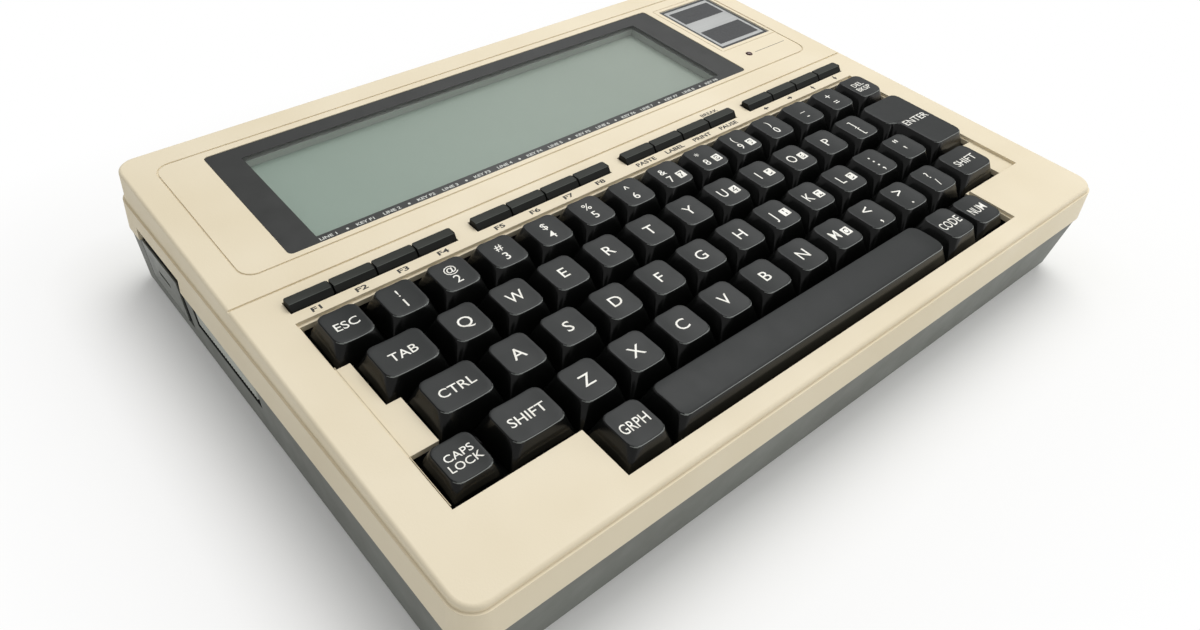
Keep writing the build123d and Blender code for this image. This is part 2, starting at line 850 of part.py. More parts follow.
def lower_case():
    """Lower shell: tray with tapering walls, a locating lip, bosses and hatches."""
    seam = seam_height - seam_gap / 2
    top_width = case_width - 2 * lower_inset
    top_depth = case_depth - 2 * lower_inset
    inner_radius = corner_radius - side_wall
    x0 = bottom_side_inset - case_width / 2
    x1 = -x0
    y0 = bottom_front_inset - case_depth / 2
    y1 = case_depth / 2 - bottom_rear_inset
    leans = [lower_inset - inset for inset in (
        bottom_side_inset, bottom_side_inset, bottom_front_inset, bottom_rear_inset
    )]
    shell = shell_block(x0, x1, y0, y1, foot_height, seam, *leans, corner_radius)
    bottom_edges = shell.faces().sort_by(Axis.Z)[0].edges()
    shell = chamfer(bottom_edges, bottom_edge_chamfer)
    shell -= shell_block(
        x0 + side_wall, x1 - side_wall, y0 + side_wall, y1 - side_wall, floor_top, seam,
        *leans, inner_radius,
    )
    lip_width = top_width - 2 * side_wall - 2 * fit
    lip_depth = top_depth - 2 * side_wall - 2 * fit
    lip_inside = RectangleRounded(
        lip_width - 2 * lip_thickness, lip_depth - 2 * lip_thickness, inner_radius - lip_thickness
    )
    root = RectangleRounded(top_width - side_wall, top_depth - side_wall, inner_radius)
    lip = RectangleRounded(lip_width, lip_depth, inner_radius)
    shell += Pos(0, 0, seam - 2 * lip_height) * extrude(root - lip_inside, amount=2 * lip_height)
    shell += Pos(0, 0, seam - lip_height) * extrude(lip - lip_inside, amount=2 * lip_height)

    half_width, half_depth = battery_half_width, battery_half_depth
    wall = compartment_wall
    roof = foot_height + cover_thickness + 2 * cell_radius + 3 * fit
    shell += block(
        battery_centre_x - half_width - wall, battery_centre_x + half_width + wall,
        battery_centre_y - half_depth - wall, battery_centre_y + half_depth + wall,
        floor_top - 1, roof + wall,
    )
    shell -= block(
        battery_centre_x - half_width, battery_centre_x + half_width,
        battery_centre_y - half_depth, battery_centre_y + half_depth,
        0, roof,
    )
    hatches = bottom_hatch(battery_centre_x, battery_centre_y, half_width, half_depth)
    hatches += bottom_hatch(
        expansion_x, expansion_y, expansion_width / 2 - cover_margin,
        expansion_depth / 2 - cover_margin,
    )
    for cutter in hatches:
        shell -= cutter

    for x in board_rib_places():
        shell += block(x - rib_thickness / 2, x + rib_thickness / 2, board_front_y + rib_inset,
                       board_back_y - rib_inset, floor_top - 1, board_bottom)
    for x, y in screw_places:
        shell += post(x, y, floor_top - 1, seam, boss_radius)
        shell -= post(x, y, 0, seam, screw_radius + screw_clearance)
        shell -= post(x, y, 0, foot_height + screw_sink + screw_head_height, screw_head_radius + fit)
    for x, y in foot_places:
        shell -= post(x, y, 0, foot_height + foot_recess, foot_radius + fit / 2)
    slot = (memory_knob + memory_travel) / 2 + running_fit
    shell -= block(
        memory_x - slot, memory_x + slot, memory_y - memory_knob / 2 - running_fit,
        memory_y + memory_knob / 2 + running_fit, 0, board_bottom,
    )
    for cutter in side_openings():
        shell -= cutter
    return shell


def board_rib_places():
    """Moulded ribs that carry the main board, clear of the expansion bay and memory switch."""
    outer = board_half_width - 2 * boss_radius
    bay_side = expansion_x + expansion_width / 2 + cover_margin
    return [-outer, bay_side + rib_thickness, outer]


def display_window():
    """Clear window that drops into its pocket, nearly flush with the deck."""
    outline = rounded(
        window_width - 2 * fit, window_depth - 2 * fit, window_corner_radius - fit,
        window_bottom, window_centre_x, window_centre_y,
    )
    return on_deck(extrude(outline, amount=window_thickness))


def display_frame():
    """Grey frame between the window and the display glass."""
    width = window_width - 2 * window_ledge - 2 * fit
    depth = window_depth - 2 * window_ledge - 2 * fit
    outline = Pos(window_centre_x, window_centre_y) * RectangleRounded(
        width, depth, window_corner_radius
    )
    outline -= Pos(view_centre_x, view_centre_y) * Rectangle(view_width, view_depth)
    return on_deck(Pos(0, 0, display_top) * extrude(outline, amount=window_bottom - display_top))


def glass_block(margin, z0, z1):
    """A slab centred on the visible display area."""
    half_width = view_width / 2 + margin
    half_depth = view_depth / 2 + margin
    return block(
        view_centre_x - half_width, view_centre_x + half_width,
        view_centre_y - half_depth, view_centre_y + half_depth, z0, z1,
    )


def display_board_top():
    """Upper face of the display's driver board."""
    return display_bottom - fit


def display_board_posts():
    """Posts under the deck that carry the driver board, clear of the window pocket."""
    half_width = window_width / 2 + boss_radius
    half_depth = window_depth / 2 + boss_radius / 2
    return [
        (window_centre_x + i * half_width, window_centre_y + j * half_depth)
        for i in (-1, 1) for j in (-1, 1)
    ]


def display_board():
    """Driver board behind the glass, screwed to four posts."""
    half_width = window_width / 2 + boss_radius + display_board_margin
    half_depth = window_depth / 2 + boss_radius / 2 + display_board_margin
    top = display_board_top()
    return on_deck(block(
        window_centre_x - half_width, window_centre_x + half_width,
        window_centre_y - half_depth, window_centre_y + half_depth,
        top - board_thickness, top,
    ))


def nameplate():
    """Blank metal plate in its own seat."""
    z0 = -nameplate_sink - nameplate_thickness
    flat = Pos(nameplate_centre_x, nameplate_centre_y, z0) * Rectangle(
        nameplate_width, nameplate_depth
    )
    return on_deck(extrude(flat, amount=nameplate_thickness))


def battery_lamp():
    """Small domed lamp with a collar under the deck."""
    collar_top = -deck_thickness
    body = post(lamp_x, lamp_y, -lamp_length, 0, lamp_radius)
    dome = Pos(lamp_x, lamp_y, lamp_dome / 2) * Cone(lamp_radius, lamp_radius - lamp_dome, lamp_dome)
    collar = post(lamp_x, lamp_y, collar_top - lamp_flange, collar_top, lamp_radius + lamp_flange)
    return on_deck(body + dome + collar)


def main_board():
    """Main circuit board on the lower shell's posts, notched round the rear screw bosses."""
    board = block(
        -board_half_width, board_half_width, board_front_y, board_back_y, board_bottom, board_top
    )
    for x, y in screw_places:
        notch = boss_radius + board_notch_gap
        board -= block(x - notch, x + notch, y - notch, y + notch, board_bottom, board_top)
    return board


def standing_block(x, y, length, depth, height):
    """A flat-topped part that stands on the main board."""
    return block(
        x - length / 2, x + length / 2, y - depth / 2, y + depth / 2, board_top, board_top + height
    )


def board_components():
    """Chips, memory modules, option socket and the bodies of the slide switches."""
    pieces = []
    for row in range(chip_rows):
        y = board_front_y + chip_front_inset + row * chip_row_pitch
        for column in range(chip_columns):
            x = first_chip_x + column * chip_column_pitch - row * chip_row_shift
            pieces.append(standing_block(x, y, chip_length, chip_depth, chip_height))
    for column in (0, 1):
        x = module_side_inset + column * module_pitch - board_half_width
        for row in (0, 1):
            y = board_front_y + module_front_inset + row * chip_row_pitch
            pieces.append(standing_block(x, y, module_length, chip_depth, chip_height))
    half_socket = option_socket_length / 2
    pieces.append(block(
        expansion_x - half_socket, expansion_x + half_socket, expansion_y - chip_depth / 2,
        expansion_y + chip_depth / 2, board_bottom - board_lift / 2, board_bottom,
    ))
    inside = power_switch_inside()
    half_switch = power_switch_width / 2
    pieces.append(block(
        inside - power_switch_length, inside, power_y - half_switch, power_y + half_switch,
        board_top, power_bottom + power_height,
    ))
    root = knob_root_x()
    for y in knob_places:
        pieces.append(block(
            root, root + knob_switch_width, y - knob_switch_length / 2,
            y + knob_switch_length / 2, board_top, strip_bottom - running_fit,
        ))
    back = rear_face - connector_depth
    pieces.append(block(
        reset_x - reset_switch_width / 2, reset_x + reset_switch_width / 2,
        back - reset_switch_depth, back, board_top, reset_height + reset_switch_width / 2,
    ))
    return Compound(children=pieces)


def knob_root_x():
    """Outer face of the two slide switches at the left side."""
    return knob_switch_inset - case_width / 2


def power_switch_inside():
    """Inner face of the power switch, where its knob's stem begins."""
    return case_width / 2 - side_wall - power_switch_setback


def backup_battery():
    """Round rechargeable cell that keeps the memory alive."""
    half = memory_cell_length / 2
    z = board_top + memory_cell_radius
    return along_x(board_back_y - cell_back_inset, z, cell_x - half, cell_x + half,
                   memory_cell_radius)


def buzzer():
    """Round sounder with a hole in its lid."""
    y = board_back_y - buzzer_back_inset
    top = board_top + buzzer_height
    sounder = post(buzzer_x, y, board_top, top, buzzer_radius)
    return sounder - post(buzzer_x, y, top - buzzer_height / 2, top, buzzer_hole_radius)


def d_outline(width, height):
    """The lopsided outline of a D connector, standing upright."""
    slant = height * math.tan(math.radians(10))
    points = [
        (-width / 2, height / 2), (width / 2, height / 2),
        (width / 2 - slant, -height / 2), (-width / 2 + slant, -height / 2),
    ]
    corners = Polygon(*points, align=None)
    return fillet(corners.vertices(), 2.0)


def serial_connector():
    """D connector with its flange, shell, insulator and two jack posts."""
    z = board_top + flange_height / 2
    flange_back = rear_face - flange_sink
    front = flange_back + flange_thickness
    flange = block(
        serial_x - flange_width / 2, serial_x + flange_width / 2, flange_back, front,
        board_top, board_top + flange_height,
    )
    body = block(
        serial_x - d_body_width / 2, serial_x + d_body_width / 2,
        rear_face - connector_depth, flange_back, board_top, board_top + flange_height - 1,
    )
    face = Plane(origin=(serial_x, front, z), x_dir=(-1, 0, 0), z_dir=(0, 1, 0)).location

    def d_solid(inset, length):
        outline = d_outline(d_shell_width - 2 * inset, d_shell_height - 2 * inset)
        return extrude(face * outline, amount=length)

    shell = d_solid(0, d_shell_length) - d_solid(d_shell_wall, d_shell_length)
    connector = flange + body + shell + d_solid(2 * d_shell_wall, d_insulator_length)
    for side in (-1, 1):
        at = Pos(side * (flange_width / 2 - jack_nut_inset), 0)
        connector += extrude(face * (at * RegularPolygon(jack_nut_radius, 6)),
                             amount=jack_nut_length)
    return connector


def printer_connector():
    """Boxed pin header with two rows of pins."""
    front = rear_face - connector_depth
    back = rear_face - fit
    top = board_top + header_height
    well_floor = back - header_well_depth
    half_width = header_width / 2
    body = block(printer_x - half_width, printer_x + half_width, front, back, board_top, top)
    half_well = half_width - header_wall
    body -= block(printer_x - half_well, printer_x + half_well, well_floor, back,
                  board_top + header_wall, top - header_wall)
    half_key = header_key_width / 2
    body -= block(printer_x - half_key, printer_x + half_key, well_floor, back,
                  top - header_wall, top)
    half_pin = pin_width / 2
    for column in range(header_pins):
        x = printer_x + (column - (header_pins - 1) / 2) * header_pitch
        for side in (-1, 1):
            z = board_top + header_height / 2 + side * header_pitch / 2
            body += block(x - half_pin, x + half_pin, well_floor - half_pin, back - pin_sink,
                          z - half_pin, z + half_pin)
    return body


def din_sockets():
    """Two round sockets, phone and cassette, each on a foot on the board."""
    sockets = []
    front = rear_face - connector_depth
    for x in (phone_x, cassette_x):
        barrel = along_y(x, din_height, front, rear_face, din_radius)
        barrel -= along_y(x, din_height, rear_face - din_recess, rear_face, din_radius - din_wall)
        foot = block(
            x - din_block_width / 2, x + din_block_width / 2, front, rear_face - din_block_sink,
            board_top, din_height,
        )
        sockets.append(barrel + foot)
    return Compound(children=sockets)


def reset_button():
    """Push button that stands slightly out of the rear wall."""
    inner = rear_face - connector_depth + reset_travel + running_fit
    shoulder = rear_face - side_wall - running_fit
    button = along_y(reset_x, reset_height, inner, rear_face + reset_stand_out, reset_radius)
    return button + along_y(reset_x, reset_height, shoulder - reset_collar, shoulder,
                            reset_radius + reset_collar)


def power_switch_knob():
    """Ridged slider on the right side, with a stem into its switch."""
    outer = lower_wall_x(power_bottom) - power_knob_sink
    inner = outer - power_knob_depth
    top = power_bottom + power_height
    half = power_knob_width / 2
    half_stem = power_stem_width / 2
    knob = block(inner, outer, power_y - half, power_y + half, power_bottom, top)
    for step in (-1, 0, 1):
        y = power_y + step * power_ridge_pitch
        knob -= block(outer - power_ridge_depth, outer, y - power_ridge_gap / 2,
                      y + power_ridge_gap / 2, power_bottom, top)
    return knob + block(
        power_switch_inside() + running_fit, inner, power_y - half_stem, power_y + half_stem,
        power_bottom + power_stem_margin, top - power_stem_margin,
    )


def power_jack():
    """Round power inlet with a centre pin."""
    shoulder = lower_wall_x(foot_height) - side_wall
    mouth = lower_wall_x(jack_height) - jack_sink
    jack = block(shoulder - jack_depth, shoulder, jack_y - jack_width / 2,
                 jack_y + jack_width / 2, board_top, jack_height + jack_width / 2)
    jack += along_x(jack_y, jack_height, shoulder, mouth, jack_radius + jack_barrel_wall)
    jack -= along_x(jack_y, jack_height, mouth - jack_bore_depth, mouth, jack_radius)
    pin_root = mouth - jack_bore_depth
    return jack + along_x(jack_y, jack_height, pin_root, mouth - jack_sink, jack_pin_radius)


def contrast_dial():
    """Notched thumb wheel that shows through a slot, on its upright hub."""
    x = lower_wall_x(dial_bottom) + dial_stand_out - dial_radius
    rim = []
    for index in range(2 * dial_notches):
        angle = math.pi * index / dial_notches
        radius = dial_radius if index % 2 == 0 else dial_radius - dial_notch_depth
        rim.append((radius * math.cos(angle), radius * math.sin(angle)))
    wheel = Pos(x, dial_y, dial_bottom) * extrude(Polygon(*rim, align=None), amount=dial_thickness)
    return wheel + post(x, dial_y, board_top + fit / 2, dial_bottom, dial_hub_radius)


def bar_code_connector():
    """Grey port body on the left side, with a narrow slot in its face."""
    face = running_fit - lower_wall_x(port_bottom)
    inner = side_wall + port_body_depth - case_width / 2
    y0 = port_front_y + port_body_front_gap
    y1 = port_back_y - port_body_back_gap
    top = port_top - port_body_top_gap
    body = block(face, inner, y0, y1, board_top, top)
    body += block(face, face + side_wall, y0, y1, port_bottom + running_fit, top)
    middle_y = (y0 + y1) / 2
    middle_z = (port_bottom + top) / 2
    half_length = port_slot_length / 2
    half_height = port_slot_height / 2
    return body - block(
        face, face + port_slot_depth, middle_y - half_length, middle_y + half_length,
        middle_z - half_height, middle_z + half_height,
    )


def switch_strip():
    """Ribbed grey strip behind the long recess on the left side."""
    outer = -(case_width / 2 - strip_setback)
    y0 = strip_front_y + 2 * running_fit
    y1 = strip_back_y - strip_back_gap
    z1 = seam_height - seam_gap
    strip = block(outer, outer + strip_thickness, y0, y1, strip_bottom, z1)
    rib = strip_rib_pitch / 2
    count = int((y1 - y0) / strip_rib_pitch)
    for index in range(count):
        y = y0 + (index + 0.25) * strip_rib_pitch
        strip -= block(outer, outer + strip_rib_depth, y, y + rib, strip_bottom, z1)
    root = outer + strip_thickness
    first, second = knob_places
    for y in (y0 + strip_leg / 2, (first + second) / 2, y1 - strip_leg / 2):
        strip += block(root, root + strip_leg, y - strip_leg / 2, y + strip_leg / 2,
                       board_top, z1)
    return strip


def side_knob(y):
    """Small black slider under the ribbed strip."""
    outer = knob_setback - lower_wall_x(strip_slot_bottom)
    z0 = strip_slot_bottom + running_fit
    z1 = strip_bottom - running_fit
    half = knob_width / 2
    return block(outer, knob_root_x() - running_fit, y - half, y + half, z0, z1)


def memory_power_knob():
    """Small slider in the floor, held under the main board."""
    x = memory_x - memory_travel / 2
    half = memory_knob / 2
    wide = half + memory_collar
    deep = half + 2 * memory_collar
    knob = block(x - half, x + half, memory_y - half, memory_y + half,
                 foot_height + memory_sink, board_bottom - running_fit)
    return knob + block(x - wide, x + wide, memory_y - deep, memory_y + deep,
                        floor_top + fit / 2, floor_top + memory_collar)


def hatch_cover(x, y, half_width, half_depth):
    """A flat cover that closes a hatch in the floor, with finger grooves."""
    wide = half_width + cover_margin
    deep = half_depth + cover_margin
    cover = block(x - wide, x + wide, y - deep, y + deep,
                  foot_height, foot_height + cover_thickness - fit / 2)
    for step in (-1, 0, 1):
        middle = y + step * cover_groove_pitch
        cover -= block(
            x + wide - cover_groove_end, x + wide - cover_groove_start,
            middle - cover_groove_width / 2, middle + cover_groove_width / 2,
            foot_height, foot_height + cover_groove_depth,
        )
    return cover


def battery_cover():
    """Cover of the battery compartment."""
    return hatch_cover(battery_centre_x, battery_centre_y, battery_half_width, battery_half_depth)


def expansion_cover():
    """Cover of the expansion bay."""
    return hatch_cover(
        expansion_x, expansion_y, expansion_width / 2 - cover_margin,
        expansion_depth / 2 - cover_margin,
    )


def battery_cells():
    """Four cells, two end to end in each row, alternate rows turned about."""
    z = foot_height + cover_thickness + cell_radius + 1.5 * fit
    cells = []
    for row, side in enumerate((-1, 1)):
        y = battery_centre_y + side * (cell_radius + fit / 4)
        turn = 1 if row == 0 else -1
        for end in (0, 1):
            start = -cell_length - cell_tip_length + end * (cell_length + cell_tip_length)
            body = along_x(0, 0, start, start + cell_length, cell_radius)
            tip = along_x(0, 0, start + cell_length, start + cell_length + cell_tip_length,
                          cell_tip_radius)
            cell = Rot(0, 0, 0 if turn > 0 else 180) * (body + tip)
            cells.append(Pos(battery_centre_x, y, z) * cell)
    return Compound(children=cells)


def battery_contacts():
    """Sprung metal plates at both ends of the compartment."""
    half = contact_width / 2
    z = foot_height + cover_thickness + cell_radius + 1.5 * fit
    plates = []
    for side in (-1, 1):
        outer = battery_centre_x + side * battery_half_width
        inner = outer - side * contact_thickness
        for row in (-1, 1):
            y = battery_centre_y + row * (cell_radius + fit / 4)
            plates.append(block(min(outer, inner), max(outer, inner), y - half, y + half,
                                z - half, z + half))
    return Compound(children=plates)


def case_screws():
    """Four screws that draw the shells together from below."""
    screws = []
    for x, y in screw_places:
        head_bottom = foot_height + screw_sink
        head = post(x, y, head_bottom, head_bottom + screw_head_height - fit / 2, screw_head_radius)
        shank = post(x, y, head_bottom, seam_height + screw_reach, screw_radius)
        screws.append(head + shank)
    return Compound(children=screws)


def rubber_feet():
    """Four round feet seated in shallow recesses."""
    feet = []
    for x, y in foot_places:
        height = foot_height + foot_recess
        feet.append(Pos(x, y, height / 2) * Cone(foot_radius - foot_taper, foot_radius, height))
    return Compound(children=feet)


def finger_column(column):
    """Caps of one finger column, each a separate solid."""
    keys = [placed_key(row, left, left + 1) for row, left in finger_column_keys(column)]
    return Compound(children=[on_deck(key) for key in keys])


def bar_bank(bank):
    """Four bar keys of one bank, each a separate solid."""
    bars = [Pos(bar_x(bank, index), bar_centre_y, 0) * bar_key() for index in range(bars_in_bank)]
    return Compound(children=[on_deck(bar) for bar in bars])


def all_nodes():
    """Every piece of the object under the name it is stored by."""
    nodes = {
        "upper_case": upper_case(),
        "lower_case": lower_case(),
        "display_window": display_window(),
        "display_frame": display_frame(),
        "display_glass": on_deck(glass_block(glass_margin, display_bottom, display_top)),
        "display_board": display_board(),
        "nameplate": nameplate(),
        "battery_lamp": battery_lamp(),
        "keyboard_plate": keyboard_plate(),
        "key_switches": key_switches(),
        "keyboard_board": keyboard_board(),
        "main_board": main_board(),
        "board_components": board_components(),
        "backup_battery": backup_battery(),
        "buzzer": buzzer(),
        "serial_connector": serial_connector(),
        "printer_connector": printer_connector(),
        "phone_and_cassette_sockets": din_sockets(),
        "reset_button": reset_button(),
        "power_switch_knob": power_switch_knob(),
        "power_jack": power_jack(),
        "contrast_dial": contrast_dial(),
        "bar_code_connector": bar_code_connector(),
        "switch_strip": switch_strip(),
        "answer_originate_knob": side_knob(knob_places[0]),
        "coupler_knob": side_knob(knob_places[1]),
        "memory_power_knob": memory_power_knob(),
        "battery_cover": battery_cover(),
        "battery_cells": battery_cells(),
        "battery_contacts": battery_contacts(),
        "expansion_cover": expansion_cover(),
        "case_screws": case_screws(),
        "rubber_feet": rubber_feet(),
        "key_space_bar": on_deck(space_bar()),
        "key_enter": on_deck(enter_key()),
    }
    for name, (row, left, right) in single_keys.items():
        drop = latch_drop if name in latching_keys else 0.0
        nodes[name] = on_deck(placed_key(row, left, right, drop))
    for column, name in enumerate(finger_columns):
        nodes[name] = finger_column(column)
    for bank, name in enumerate(bar_banks):
        nodes[name] = bar_bank(bank)
    return nodes


os.makedirs("parts", exist_ok=True)
for name, shape in all_nodes().items():
    export_step(shape, f"parts/{name}.step")
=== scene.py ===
from collections import namedtuple
import json
import math

import bmesh
import bpy
from mathutils import Matrix, Vector


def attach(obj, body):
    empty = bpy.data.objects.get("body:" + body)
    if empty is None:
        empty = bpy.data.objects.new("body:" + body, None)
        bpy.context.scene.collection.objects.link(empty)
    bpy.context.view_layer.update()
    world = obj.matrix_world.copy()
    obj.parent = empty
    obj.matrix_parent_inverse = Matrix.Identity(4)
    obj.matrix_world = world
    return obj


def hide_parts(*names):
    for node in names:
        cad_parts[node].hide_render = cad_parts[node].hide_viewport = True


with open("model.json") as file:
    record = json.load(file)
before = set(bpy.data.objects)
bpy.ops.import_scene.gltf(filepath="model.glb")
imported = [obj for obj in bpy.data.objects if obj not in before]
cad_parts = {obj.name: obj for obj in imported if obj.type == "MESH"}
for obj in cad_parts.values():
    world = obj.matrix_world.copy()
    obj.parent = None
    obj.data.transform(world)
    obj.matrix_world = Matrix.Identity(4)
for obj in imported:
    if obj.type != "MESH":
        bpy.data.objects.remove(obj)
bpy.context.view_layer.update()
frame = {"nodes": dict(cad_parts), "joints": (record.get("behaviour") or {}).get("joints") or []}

# Upper shell
# The upper half of the case, moulded in beige ABS against a spark-eroded steel tool.
# Age has warmed it in soft patches, and its edges are paler, partly polished by hands and
# sleeves and partly a painted highlight.


def linear(code):
    """An sRGB hex colour as the linear colour that a shader works in."""
    channels = [int(code[i:i + 2], 16) / 255 for i in (1, 3, 5)]
    return [c / 12.92 if c <= 0.04045 else ((c + 0.055) / 1.055) ** 2.4 for c in channels] + [1]


def add(material, kind, inputs, output=0, **settings):
    """Adds a node with its settings and its inputs, and returns one of its outputs.

    An input is linked where it is given a socket. A hex colour is turned linear.
    """
    node = material.node_tree.nodes.new("ShaderNode" + kind)
    for name, value in settings.items():
        setattr(node, name, value)
    for name, value in inputs.items():
        if isinstance(value, bpy.types.NodeSocket):
            material.node_tree.links.new(value, node.inputs[name])
        elif isinstance(value, str):
            node.inputs[name].default_value = linear(value)
        else:
            node.inputs[name].default_value = value
    return node.outputs[output] if node.outputs else None


def new_material(name):
    """A material with nothing in it yet."""
    material = bpy.data.materials.new(name)
    material.use_nodes = True
    material.node_tree.nodes.clear()
    return material


def per_mm(size):
    """The scale of a pattern whose features have this size in millimetres."""
    return 1000 / size


def blotches(material, size, low, high, detail=2.0):
    """Soft noise of a size in millimetres, spread from 0 to 1 between two levels."""
    place = add(material, "TexCoord", {}, "Object")
    noise = add(material, "TexNoise", {"Vector": place, "Scale": per_mm(size), "Detail": detail})
    return add(material, "MapRange", {"Value": noise, "From Min": low, "From Max": high})


def uneven(material, size, low, high, detail=2.0):
    """A value that wanders between two levels in patches of a size in millimetres."""
    patches = blotches(material, size, 0.3, 0.7, detail)
    return add(material, "MapRange", {"Value": patches, "To Min": low, "To Max": high})


def surfaced(material, values):
    """Ends a material in one shader with these values."""
    shader = add(material, "BsdfPrincipled", values)
    add(material, "OutputMaterial", {"Surface": shader})
    return material


def moulded(name, fresh, aged, rubbed_and_highlight, patch, grain, shine, edge, ior=1.54):
    """A moulded plastic or rubber: patchy colour, fine tool grain, and paler edges, partly
    polished by use and partly a painted highlight.

    Sizes are in millimetres. Grain is its size and its depth, and shine is the least and the
    most roughness.
    """
    material = new_material(name)
    softened = add(material, "Bevel", {"Radius": edge / 1000}, samples=4)
    true_normal = add(material, "NewGeometry", {}, "True Normal")
    facing = add(material, "VectorMath", {0: softened, 1: true_normal}, "Value",
                 operation="DOT_PRODUCT")
    # Edges turn towards the rubbed colour: partly wear, partly a painted highlight.
    wear_and_highlight = add(material, "MapRange", {
        "Value": facing, "From Min": 0.99, "From Max": 0.8, "To Max": 0.5,
    })
    patches = blotches(material, patch, 0.35, 0.65)
    colour = add(material, "Mix", {0: patches, 6: fresh, 7: aged}, 2, data_type="RGBA")
    colour = add(material, "Mix", {0: wear_and_highlight, 6: colour, 7: rubbed_and_highlight}, 2, data_type="RGBA")
    tooth = add(material, "Bump", {
        "Height": blotches(material, grain[0], 0.2, 0.8, 3.0), "Distance": grain[1] / 1000,
        "Strength": 0.6, "Normal": softened,
    })
    return surfaced(material, {
        "Base Color": colour, "Roughness": uneven(material, patch / 3, *shine, detail=4.0),
        "Normal": tooth, "IOR": ior,
    })


def dress(material, *nodes):
    """Gives CAD nodes that keep their own shape a material."""
    for name in nodes:
        slots = frame["nodes"][name].data.materials
        slots.clear()
        slots.append(material)


# Beige ABS with a spark texture: matt and warm, so that it shows broad soft light and no
# reflections. The real grain is 0.1 mm, drawn at 0.6 mm so that it shows.
beige_abs = moulded(
    "beige_abs_spark_texture", "#e6dabf", "#e1d4b7", "#efe6d0", patch=45,
    grain=(0.6, 0.02), shine=(0.5, 0.6), edge=0.15,
)
dress(beige_abs, "upper_case")

# Lower shell
# The grey tray under the seam, the same ABS in a darker colour, with the covers of the battery
# compartment and of the expansion bay snapped into its floor.

# Grey ABS: a neutral matt grey with a slight green cast, lighter on its edges, partly where they
# are rubbed and partly as a painted highlight.
grey_abs = moulded(
    "grey_abs_spark_texture", "#6d706a", "#666862", "#83857e", patch=30,
    grain=(0.6, 0.02), shine=(0.5, 0.64), edge=0.2,
)
dress(grey_abs, "lower_case", "battery_cover", "expansion_cover")

# Deck frame of reference
# Everything on the sloping deck is drawn in millimetres in the deck's own axes, with z = 0 on
# its surface, and then set down on it. The keys' stroke gives the deck's slope.
deck_middle = 45.0
stroke = next(joint for joint in frame["joints"] if joint["child"] == "key_escape")
deck_up = -Vector(stroke["axis"]).normalized()
across = Vector((1, 0, 0))
deck_axes = Matrix((across, deck_up.cross(across), deck_up)).transposed().to_4x4()
millimetres = Matrix.Scale(0.001, 4)
deck_place = millimetres @ Matrix.Translation((0, 0, deck_middle)) @ deck_axes


crease = math.radians(35)


def as_object(name, shape):
    """Turns a drawing into an object of the scene."""
    mesh = bpy.data.meshes.new(name)
    shape.to_mesh(mesh)
    shape.free()
    made = bpy.data.objects.new(name, mesh)
    bpy.context.scene.collection.objects.link(made)
    return made


def show(name, shape, place, material, body="case", replaced=()):
    """Makes a drawing in millimetres into a piece that rides on a body."""
    bmesh.ops.recalc_face_normals(shape, faces=shape.faces)
    shape.transform(place)
    piece = as_object(name, shape)
    piece.data.shade_smooth()
    piece.data.set_sharp_from_angle(angle=crease)
    piece.data.materials.append(material)
    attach(piece, body)
    if replaced:
        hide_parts(*replaced)


# Key caps
# Double-shot caps of charcoal ABS with cream legends moulded through them. Each is a hollow
# frustum with a dished top and rounded corners, pushed on the stem of its switch.
key_pitch = 19.05
keys_across = 14
keys_left = -keys_across / 2 * key_pitch
first_row_y = -13.1
cap_gap = 0.95
cap_base = -4.5
cap_rise = 4.1
cap_side_inset = 2.6
cap_front_inset = 2.45
cap_back_inset = 1.95
cap_wall = 1.1
cap_roof = 1.6
cap_dish = 0.5
cap_edge = 0.36
cap_top_radius = 2.9
cap_base_radius = 1.0
cap_wall_lean = 0.3                     # outwards, for each millimetre down
cap_rings = (0.88, 0.66, 0.4, 0.14)     # shares of the way from the middle to the rim
stem_half = 2.75
stem_end = -8.5
stem_overlap = 0.3
latch_drop = 2.0


def spark_topped(name, top, shaded_wall, front_highlight_colour, shine, edge, specular, steepest):
    """Dark plastic: satin spark texture on what faces up, walls painted darker as shade, and a
    pale painted highlight on the front edges.

    The highlight is on what leans to the front and is flatter than the steepest wall.
    """
    material = new_material(name)
    softened = add(material, "Bevel", {"Radius": edge / 1000}, samples=4)
    true_normal = add(material, "NewGeometry", {}, "True Normal")
    faces_up = add(material, "SeparateXYZ", {"Vector": true_normal}, "Z")
    faces_back = add(material, "SeparateXYZ", {"Vector": true_normal}, "Y")
    upward = add(material, "MapRange", {"Value": faces_up, "From Min": 0.88, "From Max": 0.96})
    sloping = add(material, "MapRange", {
        "Value": faces_up, "From Min": steepest, "From Max": steepest + 0.05,
    })
    to_front = add(material, "MapRange", {
        "Value": faces_back, "From Min": -0.4, "From Max": -0.55,
    })
    # Painted highlight: front-leaning edges flatter than the steepest wall get the pale colour.
    front_highlight = add(material, "Math", {0: sloping, 1: to_front}, operation="MULTIPLY")
    # Painted shade: whatever does not face up gets the darker wall colour.
    colour = add(material, "Mix", {0: upward, 6: shaded_wall, 7: top}, 2, data_type="RGBA")
    colour = add(material, "Mix", {0: front_highlight, 6: colour, 7: front_highlight_colour}, 2, data_type="RGBA")
    texture = uneven(material, 6, shine[1] - 0.04, shine[1])
    roughness = add(material, "Mix", {0: upward, 2: shine[0], 3: texture})
    tooth = add(material, "Bump", {
        "Height": blotches(material, 0.35, 0.2, 0.8, 3.0), "Distance": 0.000005,
        "Strength": upward, "Normal": softened,
    })
    return surfaced(material, {
        "Base Color": colour, "Roughness": roughness, "Normal": tooth, "IOR": 1.54,
        "Specular IOR Level": specular,
    })


# Charcoal ABS: the tops show a broad pale sheen; the walls are painted darker as shade between
# the keys, and the front edges get a painted pale highlight.
key_abs = spark_topped("charcoal_abs_satin", "#131716", "#080908", "#7c807d",
                       shine=(0.22, 0.5), edge=0.2, specular=0.28, steepest=0.5)

